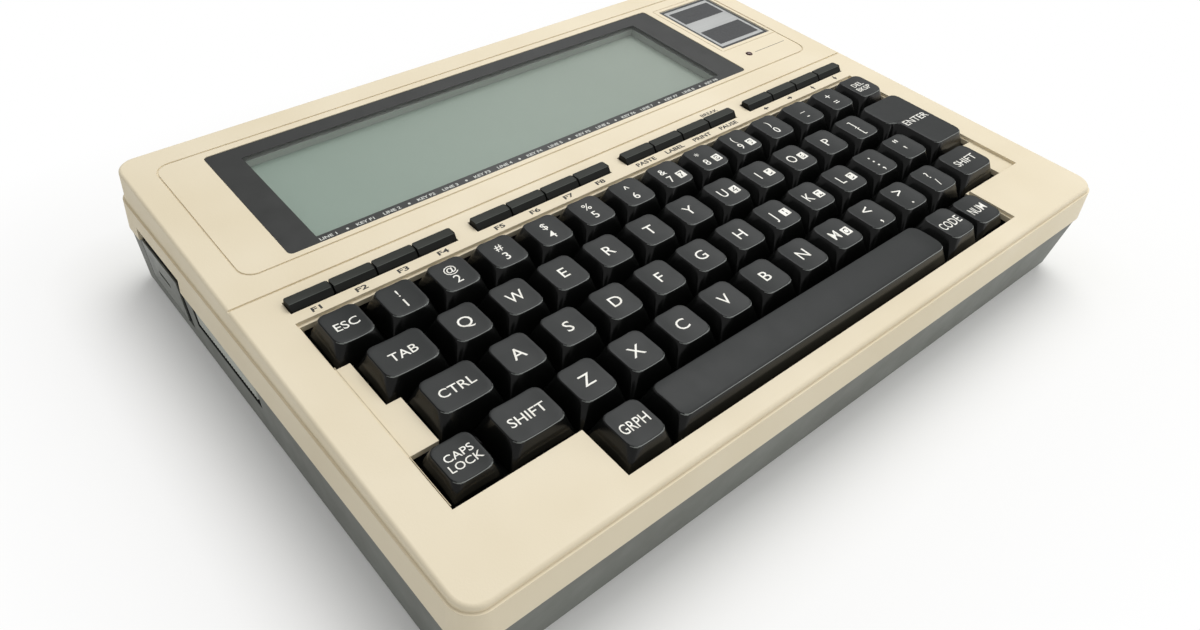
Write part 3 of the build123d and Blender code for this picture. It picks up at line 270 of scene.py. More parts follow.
# Cream ABS, the second shot of the legends: matt, a little dirty in places.
legend_abs = moulded(
    "cream_abs_second_shot", "#f4f3ec", "#e6e4da", "#f8f7f2", patch=2.5,
    grain=(0.3, 0.004), shine=(0.45, 0.6), edge=0.05,
)


def row_y(row):
    """Middle of a row of keys, counted from the digits towards the front."""
    return first_row_y - row * key_pitch


def key_x(units):
    """Distance across the deck of a place counted in key widths."""
    return keys_left + units * key_pitch


def rectangle(x0, x1, y0, y1):
    """Corners of a rectangle, anticlockwise."""
    return [Vector(corner) for corner in ((x0, y0), (x1, y0), (x1, y1), (x0, y1))]


def around(x, y, half_width, half_depth):
    """Corners of a rectangle round its middle."""
    return rectangle(x - half_width, x + half_width, y - half_depth, y + half_depth)


def inset(corners, distance):
    """Moves each side of an outline inwards by a distance."""
    moved = []
    for before, corner, after in zip(corners[-1:] + corners, corners, corners[1:] + corners[:1]):
        arrive = (corner - before).normalized()
        leave = (after - corner).normalized()
        inwards = Vector((-arrive.y, arrive.x)), Vector((-leave.y, leave.x))
        share = distance / (1 + inwards[0].dot(inwards[1]))
        moved.append(corner + (inwards[0] + inwards[1]) * share)
    return moved


def rounded_loop(corners, radius, height, bend_steps=4, runs=4):
    """Points round an outline whose corners are rounded, each lifted by height(x, y)."""
    bends = []
    for before, corner, after in zip(corners[-1:] + corners, corners, corners[1:] + corners[:1]):
        back = (before - corner).normalized()
        ahead = (after - corner).normalized()
        half = math.acos(max(-1, min(1, back.dot(ahead)))) / 2
        middle = corner + (back + ahead).normalized() * radius / math.sin(half)
        start = corner + back * radius / math.tan(half) - middle
        turn = math.pi - 2 * half
        if back.cross(ahead) > 0:
            turn = -turn
        bends.append([
            middle + Matrix.Rotation(turn * step / bend_steps, 2) @ start
            for step in range(bend_steps + 1)
        ])
    points = []
    for bend, following in zip(bends, bends[1:] + bends[:1]):
        points += bend
        points += [bend[-1].lerp(following[0], step / runs) for step in range(1, runs)]
    return [Vector((p.x, p.y, height(p.x, p.y))) for p in points]


def skin(shape, loops, closed=True):
    """Joins loops of equal counts by a skin, and closes its ends."""
    rows = [[shape.verts.new(point) for point in loop] for loop in loops]
    for low, high in zip(rows, rows[1:]):
        for i, vertex in enumerate(low):
            shape.faces.new((low[i - 1], vertex, high[i], high[i - 1]))
    for row in (rows[0], rows[-1]) if closed else ():
        middle = shape.verts.new(sum((v.co for v in row), Vector()) / len(row))
        for i, vertex in enumerate(row):
            shape.faces.new((row[i - 1], vertex, middle))


def level(height):
    """A level surface."""
    return lambda x, y: height


def add_block(shape, corners, z0, z1, bevel=0.0):
    """Adds a block on an outline, with its edges rounded where a bevel is given."""
    made = bmesh.new()
    low = [made.verts.new((c.x, c.y, z0)) for c in corners]
    high = [made.verts.new((c.x, c.y, z1)) for c in corners]
    made.faces.new(low[::-1])
    made.faces.new(high)
    for i in range(4):
        made.faces.new((low[i - 1], low[i], high[i], high[i - 1]))
    if bevel:
        bmesh.ops.bevel(made, geom=made.edges[:], offset=bevel, segments=2, profile=0.5,
                        affect="EDGES")
    join(shape, made)


def join(shape, made):
    """Adds one drawing to another."""
    mesh = bpy.data.meshes.new("part")
    made.to_mesh(mesh)
    made.free()
    shape.from_mesh(mesh)
    bpy.data.meshes.remove(mesh)


def add_cap(shape, base, top, centre, surface, low=0.0, stems=((0, 0),)):
    """Adds a hollow cap between two outlines, with its top on a surface, and its stems."""
    bottom = cap_base - low
    roof = cap_rise - cap_roof - low
    loops = [
        rounded_loop(inset(top, cap_wall), cap_top_radius - cap_wall, level(roof)),
        rounded_loop(inset(base, cap_wall), cap_base_radius / 2, level(bottom)),
        rounded_loop(inset(base, cap_edge / 3), cap_base_radius, level(bottom)),
        rounded_loop(base, cap_base_radius, level(bottom + cap_edge / 3)),
    ]
    for turn in (0, 30, 60, 90):
        lean = cap_edge * (1 - math.cos(math.radians(turn)))
        depth = cap_edge * (1 - math.sin(math.radians(turn)))
        outline = inset(top, lean - cap_wall_lean * depth)
        loops.append(rounded_loop(
            outline, cap_top_radius, lambda x, y, depth=depth: surface(x, y) - depth
        ))
    rim = loops[-1]
    for share in cap_rings:
        inner = [centre.lerp(point.xy, share) for point in rim]
        loops.append([Vector((p.x, p.y, surface(p.x, p.y))) for p in inner])
    skin(shape, loops)
    for x, y in stems:
        add_block(shape, around(centre.x + x, centre.y + y, stem_half, stem_half),
                  stem_end - low, roof + stem_overlap)


def cap_outlines(row, left, right):
    """Outlines of the foot and the top of a cap between two edges of a row, and its middle."""
    x0 = key_x(left) + cap_gap / 2
    x1 = key_x(right) - cap_gap / 2
    y0 = row_y(row) - (key_pitch - cap_gap) / 2
    y1 = row_y(row) + (key_pitch - cap_gap) / 2
    top = rectangle(x0 + cap_side_inset, x1 - cap_side_inset, y0 + cap_front_inset,
                    y1 - cap_back_inset)
    return rectangle(x0, x1, y0, y1), top, Vector(((x0 + x1) / 2, (y0 + y1) / 2))


def plain_cap(shape, row, left, right, low=0.0):
    """Adds a cap between two edges of a row. Returns its middle and its top surface."""
    foot, top, centre = cap_outlines(row, left, right)
    half_top = top[1].x - centre.x

    def surface(x, y):
        share = min(1, abs(x - centre.x) / half_top)
        return cap_rise - low - cap_dish * (1 - share**2)

    add_cap(shape, foot, top, centre, surface, low)
    return centre, surface


# Legends
# The letters are part of the moulding: closed solids sunk in the cap's top, a hair proud of it
# so that they show, and bent to its dish.
Style = namedtuple("Style", "height stretch weight lift", defaults=(1.1, 0.02, 0.0))
letter_style = Style(4.1)
wide_letter_style = Style(4.1, stretch=0.95)
word_style = Style(3.1)
narrow_word_style = Style(3.4, stretch=0.8)
two_line_style = Style(2.4)
sign_style = Style(3.0)
digit_style = Style(3.3)
mark_style = Style(4.6)
pad_digit_style = Style(2.5, weight=0.035, lift=0.02)
legend_sink = 0.03

# Places on a cap, from its middle
letter_up = 0.2
sign_up = 2.5
under_sign_down = 2.2
line_pitch = 3.4
letter_aside = 1.8
box_aside = 3.4
box_down = 0.6
box_half_width = 1.6
box_half_depth = 1.8
box_corner = 0.3


def lettering(words, style):
    """A mesh of solid lettering in millimetres, centred on the origin from side to side.

    A style's weight thickens the strokes, as a share of the letters' size.
    """
    text = bpy.data.curves.new("words", "FONT")
    text.body = words
    text.align_x = "CENTER"
    text.resolution_u = 3
    text.extrude = legend_sink
    text.size = style.height / capital_share
    text.offset = style.weight
    holder = bpy.data.objects.new("words", text)
    mesh = bpy.data.meshes.new_from_object(holder)
    bpy.data.objects.remove(holder)
    bpy.data.curves.remove(text)
    mesh.transform(Matrix.Diagonal((style.stretch, 1, 1, 1)))
    return mesh


# How high a capital stands at size 1, measured on an H
capital_share = 1.0
capital_share = max(vertex.co.y for vertex in lettering("H", Style(1.0, weight=0.0)).vertices)


def add_words(shape, words, style, x, y, surface):
    """Adds lettering with its middle at a place, bent to a surface."""
    mesh = lettering(words, style)
    for vertex in mesh.vertices:
        vertex.co.x += x
        vertex.co.y += y - style.height / 2
        vertex.co.z += surface(vertex.co.x, vertex.co.y) + style.lift
    shape.from_mesh(mesh)
    bpy.data.meshes.remove(mesh)


def add_plate(shape, corners, radius, surface, sink):
    """Adds a thin plate with rounded corners, half of it sunk in a surface."""
    skin(shape, [
        rounded_loop(corners, radius, lambda x, y: surface(x, y) - sink, 2, 2),
        rounded_loop(corners, radius, lambda x, y: surface(x, y) + sink, 2, 2),
    ])


# What each finger column's caps say, from the digits to the front: the signs over the letters,
# the letters, and the digits of the number pad that the keys turn into while NUM is down.
column_legends = {
    "keys_1_q_a_z": ("!   ", "1QAZ", "    "),
    "keys_2_w_s_x": ("@   ", "2WSX", "    "),
    "keys_3_e_d_c": ("#   ", "3EDC", "    "),
    "keys_4_r_f_v": ("$   ", "4RFV", "    "),
    "keys_5_t_g_b": ("%   ", "5TGB", "    "),
    "keys_6_y_h_n": ("^   ", "6YHN", "    "),
    "keys_7_u_j_m": ("&   ", "7UJM", "7410"),
    "keys_8_i_k_comma": ("*  <", "8IK,", "852 "),
    "keys_9_o_l_point": ("(  >", "9OL.", "963 "),
    "keys_0_p_semicolon_slash": (") :?", "0P;/", "    "),
    "keys_minus_equals_bracket_quote": ("_]\"+", "-['=", "    "),
}
small_marks = ";,.'"
row_starts = [1.0, 1.5, 1.75, 2.25]

# The last column holds the equals key, beside the minus key, in place of a key of the front row.
front_row, last_column, equals_column = 3, 10, 11


def add_legend(light, dark, sign, letter, pad_digit, centre, surface):
    """Adds one cap's sign, letter and number pad digit. A space stands for none."""
    boxed = pad_digit != " "
    x = centre.x - letter_aside if boxed else centre.x
    box_y = centre.y - box_down
    if sign == " ":
        style = wide_letter_style if boxed or letter == "W" else letter_style
        add_words(light, letter, style, x, centre.y + letter_up, surface)
    else:
        box_y = centre.y - under_sign_down
        style = mark_style if letter in small_marks else digit_style
        add_words(light, sign, sign_style if letter.isdigit() else style, x,
                  centre.y + sign_up, surface)
        add_words(light, letter, style, x, centre.y - under_sign_down, surface)
    if boxed:
        x = centre.x + box_aside
        add_plate(light, around(x, box_y, box_half_width, box_half_depth), box_corner, surface,
                  legend_sink)
        add_words(dark, pad_digit, pad_digit_style, x, box_y, surface)


for column, (body, legends) in enumerate(column_legends.items()):
    caps, light, dark = bmesh.new(), bmesh.new(), bmesh.new()
    for row, (sign, letter, pad_digit) in enumerate(zip(*legends)):
        left = row_starts[row] + column
        if row == front_row and column == last_column:
            row, left = 0, row_starts[0] + equals_column
        centre, surface = plain_cap(caps, row, left, left + 1)
        add_legend(light, dark, sign, letter, pad_digit, centre, surface)
    show("caps_" + body, caps, deck_place, key_abs, body, [body])
    show("legends_" + body, light, deck_place, legend_abs, body)
    if dark.verts:
        show("pad_digits_" + body, dark, deck_place, key_abs, body)
    else:
        dark.free()

# Row, first and last edge, style and lines of the legend, of each key that stands alone
single_keys = {
    "key_escape": (0, 0.0, 1.0, word_style, ["ESC"]),
    "key_delete": (0, 13.0, 14.0, two_line_style, ["DEL", "BKSP"]),
    "key_tab": (1, 0.25, 1.5, word_style, ["TAB"]),
    "key_control": (2, 0.5, 1.75, word_style, ["CTRL"]),
    "key_caps_lock": (3, 0.0, 1.0, two_line_style, ["CAPS", "LOCK"]),
    "key_shift_left": (3, 1.0, 2.25, word_style, ["SHIFT"]),
    "key_shift_right": (3, 12.25, 13.5, word_style, ["SHIFT"]),
    "key_graph": (4, 2.25, 3.25, narrow_word_style, ["GRPH"]),
    "key_code": (4, 10.25, 11.25, narrow_word_style, ["CODE"]),
    "key_num": (4, 11.25, 12.25, narrow_word_style, ["NUM"]),
}
latched_keys = ("key_caps_lock", "key_num")
for body, (row, left, right, style, lines) in single_keys.items():
    caps, light = bmesh.new(), bmesh.new()
    low = latch_drop if body in latched_keys else 0.0
    centre, surface = plain_cap(caps, row, left, right, low)
    for line, words in enumerate(lines):
        y = centre.y + ((len(lines) - 1) / 2 - line) * line_pitch
        add_words(light, words, style, centre.x, y, surface)
    show("cap_" + body, caps, deck_place, key_abs, body, [body])
    show("legend_" + body, light, deck_place, legend_abs, body)

# Space bar
# Seven keys wide, with a crowned top for the thumbs. It stands on the stem of its switch, and
# a guide stem towards each end keeps it level.
space_row, space_left, space_right = 4, 3.25, 10.25
space_guide = 50.0
space_foot, space_top, space_middle = cap_outlines(space_row, space_left, space_right)


def crown(x, y):
    """Height of the space bar's crowned top."""
    half = (space_top[2].y - space_top[1].y) / 2
    return cap_rise - cap_dish * min(1, abs(y - space_middle.y) / half) ** 2


bar = bmesh.new()
add_cap(bar, space_foot, space_top, space_middle, crown,
        stems=((-space_guide, 0), (0, 0), (space_guide, 0)))
show("cap_key_space_bar", bar, deck_place, key_abs, "key_space_bar",
     ["key_space_bar"])

# Enter key
# An upright L over two rows, wider on the upper one, with a level top and its word in the
# middle. One switch under its middle carries it.
enter_right = key_x(14.0) - cap_gap / 2
enter_wide = key_x(12.5) + cap_gap / 2
enter_narrow = key_x(12.75) + cap_gap / 2
enter_top = row_y(1) + (key_pitch - cap_gap) / 2
enter_step = row_y(1) - (key_pitch - cap_gap) / 2
enter_bottom = row_y(2) - (key_pitch - cap_gap) / 2
enter_word_left, enter_word_down = 0.6, 0.3


def enter_outline(side, front, back):
    """Corners of the L, moved in by a side, a front and a back distance."""
    return [Vector(corner) for corner in (
        (enter_narrow + side, enter_bottom + front), (enter_right - side, enter_bottom + front),
        (enter_right - side, enter_top - back), (enter_wide + side, enter_top - back),
        (enter_wide + side, enter_step + front), (enter_narrow + side, enter_step + front),
    )]


enter, enter_word = bmesh.new(), bmesh.new()
enter_middle = Vector(((enter_narrow + enter_right) / 2, (enter_top + enter_bottom) / 2))
add_cap(enter, enter_outline(0, 0, 0),
        enter_outline(cap_side_inset, cap_front_inset, cap_back_inset),
        enter_middle, level(cap_rise))
add_words(enter_word, "ENTER", word_style, enter_middle.x - enter_word_left,
          enter_middle.y - enter_word_down, level(cap_rise))
show("cap_key_enter", enter, deck_place, key_abs, "key_enter", ["key_enter"])
show("legend_key_enter", enter_word, deck_place, legend_abs, "key_enter")

# Bar keys
# Four banks of four narrow keys of black ABS. The level top breaks to a sloping front, and a
# flat stem under each presses a small switch.
bar_banks = ["bar_keys_f1_f4", "bar_keys_f5_f8", "bar_keys_command", "bar_keys_arrows"]
bars_in_bank = 4
bar_pitch = 0.8 * key_pitch
bar_bank_pitch = (keys_across * key_pitch + cap_gap - bars_in_bank * bar_pitch) / 3
bar_gap = 0.5
bar_y = 6.0
bar_half_depth = 2.65
bar_half_width = (bar_pitch - bar_gap) / 2
bar_skirt = 4.0
bar_rise = 1.9
bar_front_rise = 0.1
bar_crest = -0.8
bar_corner = 0.5
bar_edge = 0.25
bar_stem_half_width, bar_stem_half_depth = 2, 1.3

# Black ABS: duller than the caps, with walls painted darker as shade and a painted grey
# highlight on the front edges.
bar_abs = spark_topped("black_abs_satin", "#30322e", "#121310", "#4c504b",
                       shine=(0.55, 0.55), edge=0.2, specular=0.14, steepest=0.76)


def bar_x(bank, index):
    """Middle of one bar key."""
    return keys_left + bank * bar_bank_pitch + (index + 0.5) * bar_pitch


def add_bar(shape, x):
    """Adds one bar key: its profile drawn out sideways, with rounded edges, and its stem."""
    profile = [
        (-bar_half_depth, -bar_skirt), (bar_half_depth, -bar_skirt), (bar_half_depth, bar_rise),
        (bar_crest, bar_rise), (-bar_half_depth, bar_front_rise),
    ]
    made = bmesh.new()
    sides = [
        [made.verts.new((x + side * bar_half_width, bar_y + y, z)) for y, z in profile]
        for side in (-1, 1)
    ]
    made.faces.new(sides[0])
    made.faces.new(sides[1][::-1])
    for i in range(len(profile)):
        made.faces.new((sides[0][i - 1], sides[0][i], sides[1][i], sides[1][i - 1]))
    upright = [e for e in made.edges if abs(e.verts[0].co.z - e.verts[1].co.z) > bar_skirt]
    bmesh.ops.bevel(made, geom=upright, offset=bar_corner, segments=1, profile=0.5,
                    affect="EDGES")
    upper = [e for e in made.edges if min(v.co.z for v in e.verts) > 0]
    bmesh.ops.bevel(made, geom=upper, offset=bar_edge, segments=2, profile=0.5,
                    affect="EDGES")
    join(shape, made)
    add_block(shape, around(x, bar_y, bar_stem_half_width, bar_stem_half_depth),
              -2 * bar_skirt, stem_overlap - bar_skirt)


for bank, body in enumerate(bar_banks):
    bars = bmesh.new()
    for index in range(bars_in_bank):
        add_bar(bars, bar_x(bank, index))
    show("bars_" + body, bars, deck_place, bar_abs, body, [body])

# Pan and switches under the keys
# A steel pan, pressed and painted black, closes the keyboard between the caps. The switch
# housings of black nylon stand through it on their circuit board.

# Black enamel on pressed steel: nearly no light comes back from between the keys.
black_enamel = moulded(
    "black_enamel_on_steel", "#0c0e0d", "#111312", "#1d1f1e", patch=14,
    grain=(0.5, 0.01), shine=(0.45, 0.6), edge=0.2,
)
dress(black_enamel, "keyboard_plate")

# Black nylon: the dull, slightly brown black of switch housings and chip bodies.
black_nylon = moulded(
    "black_nylon_moulded", "#161615", "#1b1a19", "#2c2c2a", patch=5,
    grain=(0.4, 0.01), shine=(0.5, 0.65), edge=0.15,
)
dress(black_nylon, "key_switches", "board_components", "buzzer")

# Circuit boards
# Glass-epoxy boards with green solder mask. Copper tracks show as slightly lighter lines
# through the mask, in the two directions that a board of this age is routed in.


def solder_mask():
    """Green solder mask over tracks 0.6 mm wide, drawn 2.5 mm apart."""
    material = new_material("green_solder_mask_on_glass_epoxy")
    place = add(material, "TexCoord", {}, "Object")
    lines = add(material, "TexBrick", {
        "Vector": place, "Color1": "#1c4a2c", "Color2": "#21532f",
        "Mortar": "#3d7a48", "Scale": per_mm(2.5), "Mortar Size": 0.1,
        "Brick Width": 6.0, "Row Height": 1.0,
    })
    return surfaced(material, {
        "Base Color": lines, "Roughness": uneven(material, 4, 0.25, 0.4), "IOR": 1.5,
    })


dress(solder_mask(), "main_board", "keyboard_board", "display_board")

# Display
# A liquid crystal cell of eight lines lies at the bottom of a grey frame, and a clear window
# closes the well. The polariser's grey green is a little paler towards the right.
view_x0, view_x1 = -109.4, 84.6
view_y0, view_y1 = 31.0, 84.6
dot_pitch = 0.79

# Grey ABS frame: a mid grey, made paler as painted light against the shade in the well. Only its
# inner walls show, as the sides of the well.
frame_abs_painted_light = moulded(
    "mid_grey_abs_frame_painted_light", "#b9bcb8", "#b3b6b2", "#c3c5c2", patch=25,
    grain=(0.5, 0.01), shine=(0.5, 0.6), edge=0.2,
)
dress(frame_abs_painted_light, "display_frame")


def polariser():
    """The cell under its matt polariser: a grey green slope with a faint grid of dots."""
    material = new_material("lcd_polariser_over_glass")
    place = add(material, "TexCoord", {}, "Object")
    slope = add(material, "MapRange", {
        "Value": add(material, "SeparateXYZ", {"Vector": place}, "X"),
        "From Min": view_x0 / 1000, "From Max": view_x1 / 1000,
    })
    colour = add(material, "Mix", {0: slope, 6: "#9aa9a0", 7: "#a5ada5"}, 2, data_type="RGBA")
    grid = add(material, "TexBrick", {
        "Vector": place, "Color1": (1, 1, 1, 1), "Color2": (0.99, 0.99, 0.99, 1),
        "Mortar": (0.97, 0.98, 0.97, 1), "Scale": per_mm(dot_pitch), "Mortar Size": 0.08,
        "Brick Width": 1.0, "Row Height": 1.0,
    }, offset=0.0)
    colour = add(material, "Mix", {0: 1.0, 6: colour, 7: grid}, 2, data_type="RGBA",
                 blend_type="MULTIPLY")
    return surfaced(material, {
        "Base Color": colour, "Roughness": uneven(material, 30, 0.35, 0.45), "IOR": 1.5,
    })


dress(polariser(), "display_glass")


def acrylic():
    """Clear cast acrylic: only its reflection shows, more of it the flatter one looks."""
    material = new_material("clear_acrylic_window")
    clear = add(material, "BsdfTransparent", {"Color": (0.97, 0.98, 0.97, 1)})
    gloss = add(material, "BsdfPrincipled", {
        "Base Color": "#8f928f", "IOR": 1.49,
        "Roughness": uneven(material, 12, 0.02, 0.05, detail=4.0),
    })
    slant = add(material, "LayerWeight", {"Blend": 0.5}, "Facing")
    steep = add(material, "Math", {0: slant, 1: 5.0}, operation="POWER")
    share = add(material, "MapRange", {"Value": steep, "To Min": 0.04})
    both = add(material, "MixShader", {0: share, 1: clear, 2: gloss})
    add(material, "OutputMaterial", {"Surface": both})
    return material


dress(acrylic(), "display_window")

# A border is printed round the view, and small marks along its front, one for each eighth of a
# line, where the display names the function keys.

# Dark grey screen ink: flat and smooth, so that it darkens where it mirrors nothing.
border_ink = moulded(
    "dark_grey_screen_ink", "#1e201e", "#1a1c1a", "#2a2c2a", patch=20,
    grain=(0.4, 0.002), shine=(0.3, 0.38), edge=0.02,
)
# Pale grey screen ink: thin and matt.
grey_ink = moulded(
    "pale_grey_screen_ink", "#d2d4ce", "#c4c6c0", "#dadcd6", patch=1.5,
    grain=(0.3, 0.003), shine=(0.5, 0.6), edge=0.02,
)
window = rectangle(-120.8, 98.2, 27.35, 91.65)
window_radius = 1.6
window_top = -0.2
border_height = 0.03
border_top = window_top + border_height
view_radius = 0.3
ink_sink = 0.02
eighths = 8
mark_y = 28.9
mark_left = 1.7
mark_half = 0.5
mark_radius = 0.45
mark_word_aside = 7.0
mark_word_style = Style(1.3, stretch=1.3, weight=0.04, lift=0.01)


def add_frame(shape, outer, outer_radius, inner, inner_radius, height, thickness):
    """Adds a thin flat frame between two outlines."""
    loops = [
        rounded_loop(outline, radius, level(z))
        for outline, radius, z in (
            (outer, outer_radius, height), (outer, outer_radius, height + thickness),
            (inner, inner_radius, height + thickness), (inner, inner_radius, height),
        )
    ]
    skin(shape, loops + loops[:1], closed=False)
    bmesh.ops.remove_doubles(shape, verts=shape.verts, dist=0.0001)


window_border = bmesh.new()
add_frame(window_border, window, window_radius, rectangle(view_x0, view_x1, view_y0, view_y1),
          view_radius, window_top, border_height)
show("window_border", window_border, deck_place, border_ink)

window_marks = bmesh.new()
for index in range(eighths):
    x = view_x0 + (index + 0.5) * (view_x1 - view_x0) / eighths - mark_left
    add_plate(window_marks, around(x, mark_y, mark_half, mark_half), mark_radius,
              level(border_top), ink_sink)
    for words, side in ((f"LINE {index + 1}", -1), (f"KEY F{index + 1}", 1)):
        add_words(window_marks, words, mark_word_style, x + side * mark_word_aside, mark_y,
                  level(border_top))
show("window_print", window_marks, deck_place, grey_ink)

# Deck print
# The bar keys' names are screened on the deck in front of them in dark brown ink, and the pause
# key's second name behind it.

# Dark brown screen ink: matt and slightly worn.
brown_ink = moulded(
    "dark_brown_screen_ink", "#1a1712", "#26221c", "#38332b", patch=1.2,
    grain=(0.3, 0.003), shine=(0.55, 0.65), edge=0.02,
)
print_y, print_behind_y = 1.1, 11.7
pause_bank, pause_index = 2, 3
arrows_bank, arrow_turns = 3, (180, 0, 90, 270)
short_name_style = Style(1.8, stretch=1.7, weight=0.07)
long_name_style = Style(1.8, stretch=1.35, weight=0.07)
behind_style = Style(1.6, stretch=1.35, weight=0.03)
bar_names = [
    ["F1", "F2", "F3", "F4"], ["F5", "F6", "F7", "F8"], ["PASTE", "LABEL", "PRINT", "PAUSE"],
]
deck_print = bmesh.new()
for bank, names in enumerate(bar_names):
    for index, words in enumerate(names):
        style = short_name_style if len(words) == 2 else long_name_style
        add_words(deck_print, words, style, bar_x(bank, index), print_y, level(0))
add_words(deck_print, "BREAK", behind_style, bar_x(pause_bank, pause_index), print_behind_y,
          level(0))


def add_arrow(shape, x, y, turn):
    """Adds a small solid arrow that points at an angle from the right."""
    outline = [(1.4, 0), (-0.1, 1.0), (-0.1, 0.35), (-1.4, 0.35), (-1.4, -0.35),
               (-0.1, -0.35), (-0.1, -1.0)]
    spin = Matrix.Rotation(math.radians(turn), 2)
    points = [Vector((x, y)) + spin @ Vector(p) for p in outline]
    skin(shape, [[Vector((p.x, p.y, z)) for p in points] for z in (-legend_sink, legend_sink)])


for index, turn in enumerate(arrow_turns):
    add_arrow(deck_print, bar_x(arrows_bank, index), print_y, turn)
show("deck_print", deck_print, deck_place, brown_ink)

# Where an insert of the mould ends, left of the keys, a fine raised line is painted grey brown
# as the shade of the crease there.

# Grey brown painted shade: matt, and uneven along the line.
crease_painted_shade = moulded(
    "grey_brown_painted_crease_shade", "#b9ab8d", "#cabc9e", "#c4b698", patch=3,
    grain=(0.3, 0.003), shine=(0.7, 0.8), edge=0.02,
)
mould_line_edges = rectangle(-133.95, -133.7, -79.6, -22.9)
mould_line_radius = 0.05
mould_line = bmesh.new()
add_plate(mould_line, mould_line_edges, mould_line_radius, level(0), ink_sink)
show("mould_line", mould_line, deck_place, crease_painted_shade)

# Nameplate
# A sheet of brushed aluminium, printed black round its edge and in two panels that are left
# bare, stuck in a shallow seat in the deck.
plate_edge = rectangle(104.2, 136.0, 46.3, 87.1)
plate_top = -0.4
frame_outside, frame_inside = inset(plate_edge, 0.25), inset(plate_edge, 1.6)
outside_radius, inside_radius = 0.6, 0.3
panels = [rectangle(107.2, 133.0, 50.0, 62.7), rectangle(107.2, 133.0, 72.0, 83.4)]
panel_radius = 0.25


def brushed_aluminium():
    """Aluminium brushed along its length: a pale sheen drawn out in fine lines."""
    material = new_material("brushed_aluminium_sheet")
    place = add(material, "TexCoord", {}, "Object")
    drawn = add(material, "Mapping", {
        "Vector": place, "Scale": (per_mm(20), per_mm(0.25), per_mm(0.25)),
    })
    lines = add(material, "TexNoise", {"Vector": drawn, "Detail": 3.0, "Scale": 1.0})
    colour = add(material, "Mix", {0: lines, 6: "#abadac", 7: "#c6c7c5"}, 2, data_type="RGBA")
    roughness = add(material, "MapRange", {"Value": lines, "To Min": 0.3, "To Max": 0.5})
    scratch = add(material, "Bump", {"Height": lines, "Distance": 0.00001})
    return surfaced(material, {
        "Base Color": colour, "Metallic": 0.9, "Roughness": roughness, "Normal": scratch,
    })


dress(brushed_aluminium(), "nameplate")

# Black screen ink on metal: flat and dense, with a faint sheen.
black_ink = moulded(
    "black_screen_ink_on_metal", "#26282a", "#2b2d2f", "#3c3e40", patch=3,
    grain=(0.3, 0.003), shine=(0.35, 0.45), edge=0.02,
)
plate_print = bmesh.new()
add_frame(plate_print, frame_outside, outside_radius, frame_inside, inside_radius, plate_top,
          ink_sink)
for panel in panels:
    add_plate(plate_print, panel, panel_radius, level(plate_top), ink_sink)
show("nameplate_print", plate_print, deck_place, black_ink)

# Low battery lamp
# A red light emitting diode in its own hole, with a collar under the deck. A fine printed line
# leads from it to the right.
lamp_x, lamp_y = 110.8, 36.4
lamp_radius = 1.5
lamp_foot = -7.0
dome_rise = 0.6
collar_radius = lamp_radius + 0.7
collar_low, collar_high = -3.9, -3.2
rule_edges = rectangle(114.4, 134.5, 35.9, 36.15)
rule_radius = 0.1


def add_turned(shape, x, y, profile, steps=32):
    """Adds a round part from its radius at each height, closed at both ends."""
    loops = []
    for radius, z in profile:
        loops.append([
            Vector((x + radius * math.cos(turn), y + radius * math.sin(turn), z))
            for turn in (2 * math.pi * step / steps for step in range(steps))
        ])
    skin(shape, loops)


def red_lens():
    """Red epoxy: dark while the lamp is off, glossy and a little clear."""
    material = new_material("red_epoxy_lens")
    patches = blotches(material, 0.8, 0.3, 0.7)
    colour = add(material, "Mix", {0: patches, 6: "#3b1613", 7: "#4a1c18"}, 2, data_type="RGBA")
    return surfaced(material, {
        "Base Color": colour, "Roughness": uneven(material, 0.5, 0.12, 0.2), "IOR": 1.55,
        "Transmission Weight": 0.15,
    })


lamp = bmesh.new()
dome = [(lamp_radius * math.cos(turn), dome_rise * math.sin(turn))
        for turn in map(math.radians, (0, 25, 50, 75))]
add_turned(lamp, lamp_x, lamp_y, [
    (lamp_radius, lamp_foot), (lamp_radius, collar_low), (collar_radius, collar_low),
    (collar_radius, collar_high), (lamp_radius, collar_high),
] + dome)
show("lamp_lens", lamp, deck_place, red_lens(), replaced=["battery_lamp"])

lamp_line = bmesh.new()
add_plate(lamp_line, rule_edges, rule_radius, level(0), ink_sink)
show("lamp_print", lamp_line, deck_place, brown_ink)

# Left side
# A grey port cover stands in its opening, flush with the case, on a black core that is painted
# shade for the dark gap round it, and a ribbed strip closes the recess in which two small
# sliders run. Both are held between the shells.

# On the lower shell's left wall, which leans out as it rises: x runs to the front, y up, and z
# out of the wall.
wall_lean = 0.0596
wall_foot = 147.95
left_wall = millimetres @ Matrix((
    (0, -wall_lean, -1, -wall_foot), (-1, 0, 0, 0), (0, 1, 0, 0), (0, 0, 0, 1),
))

# Grey ABS from a smoother tool: a little glossier than the tray.
grey_trim_abs = moulded(
    "grey_trim_abs_smooth", "#747770", "#6a6d67", "#8c8f87", patch=12,
    grain=(0.5, 0.01), shine=(0.38, 0.5), edge=0.3,
)
port_edge, port_slot = rectangle(-90.4, -60.0, 9.3, 27.0), rectangle(-80.2, -70.2, 17.2, 19.0)
port_radius, slot_radius = 0.5, 0.3
port_root, port_plate = -9.3, -0.5
port_cover = bmesh.new()
add_frame(port_cover, port_edge, port_radius, port_slot, slot_radius, port_plate, -port_plate)
show("port_cover", port_cover, left_wall, grey_trim_abs,
     replaced=["bar_code_connector"])
# The black core is painted shade: it shows as the dark gap round the port cover.
port_shade_core = bmesh.new()
add_block(port_shade_core, port_edge, port_root, port_plate)
show("port_shade_core", port_shade_core, left_wall, black_nylon)

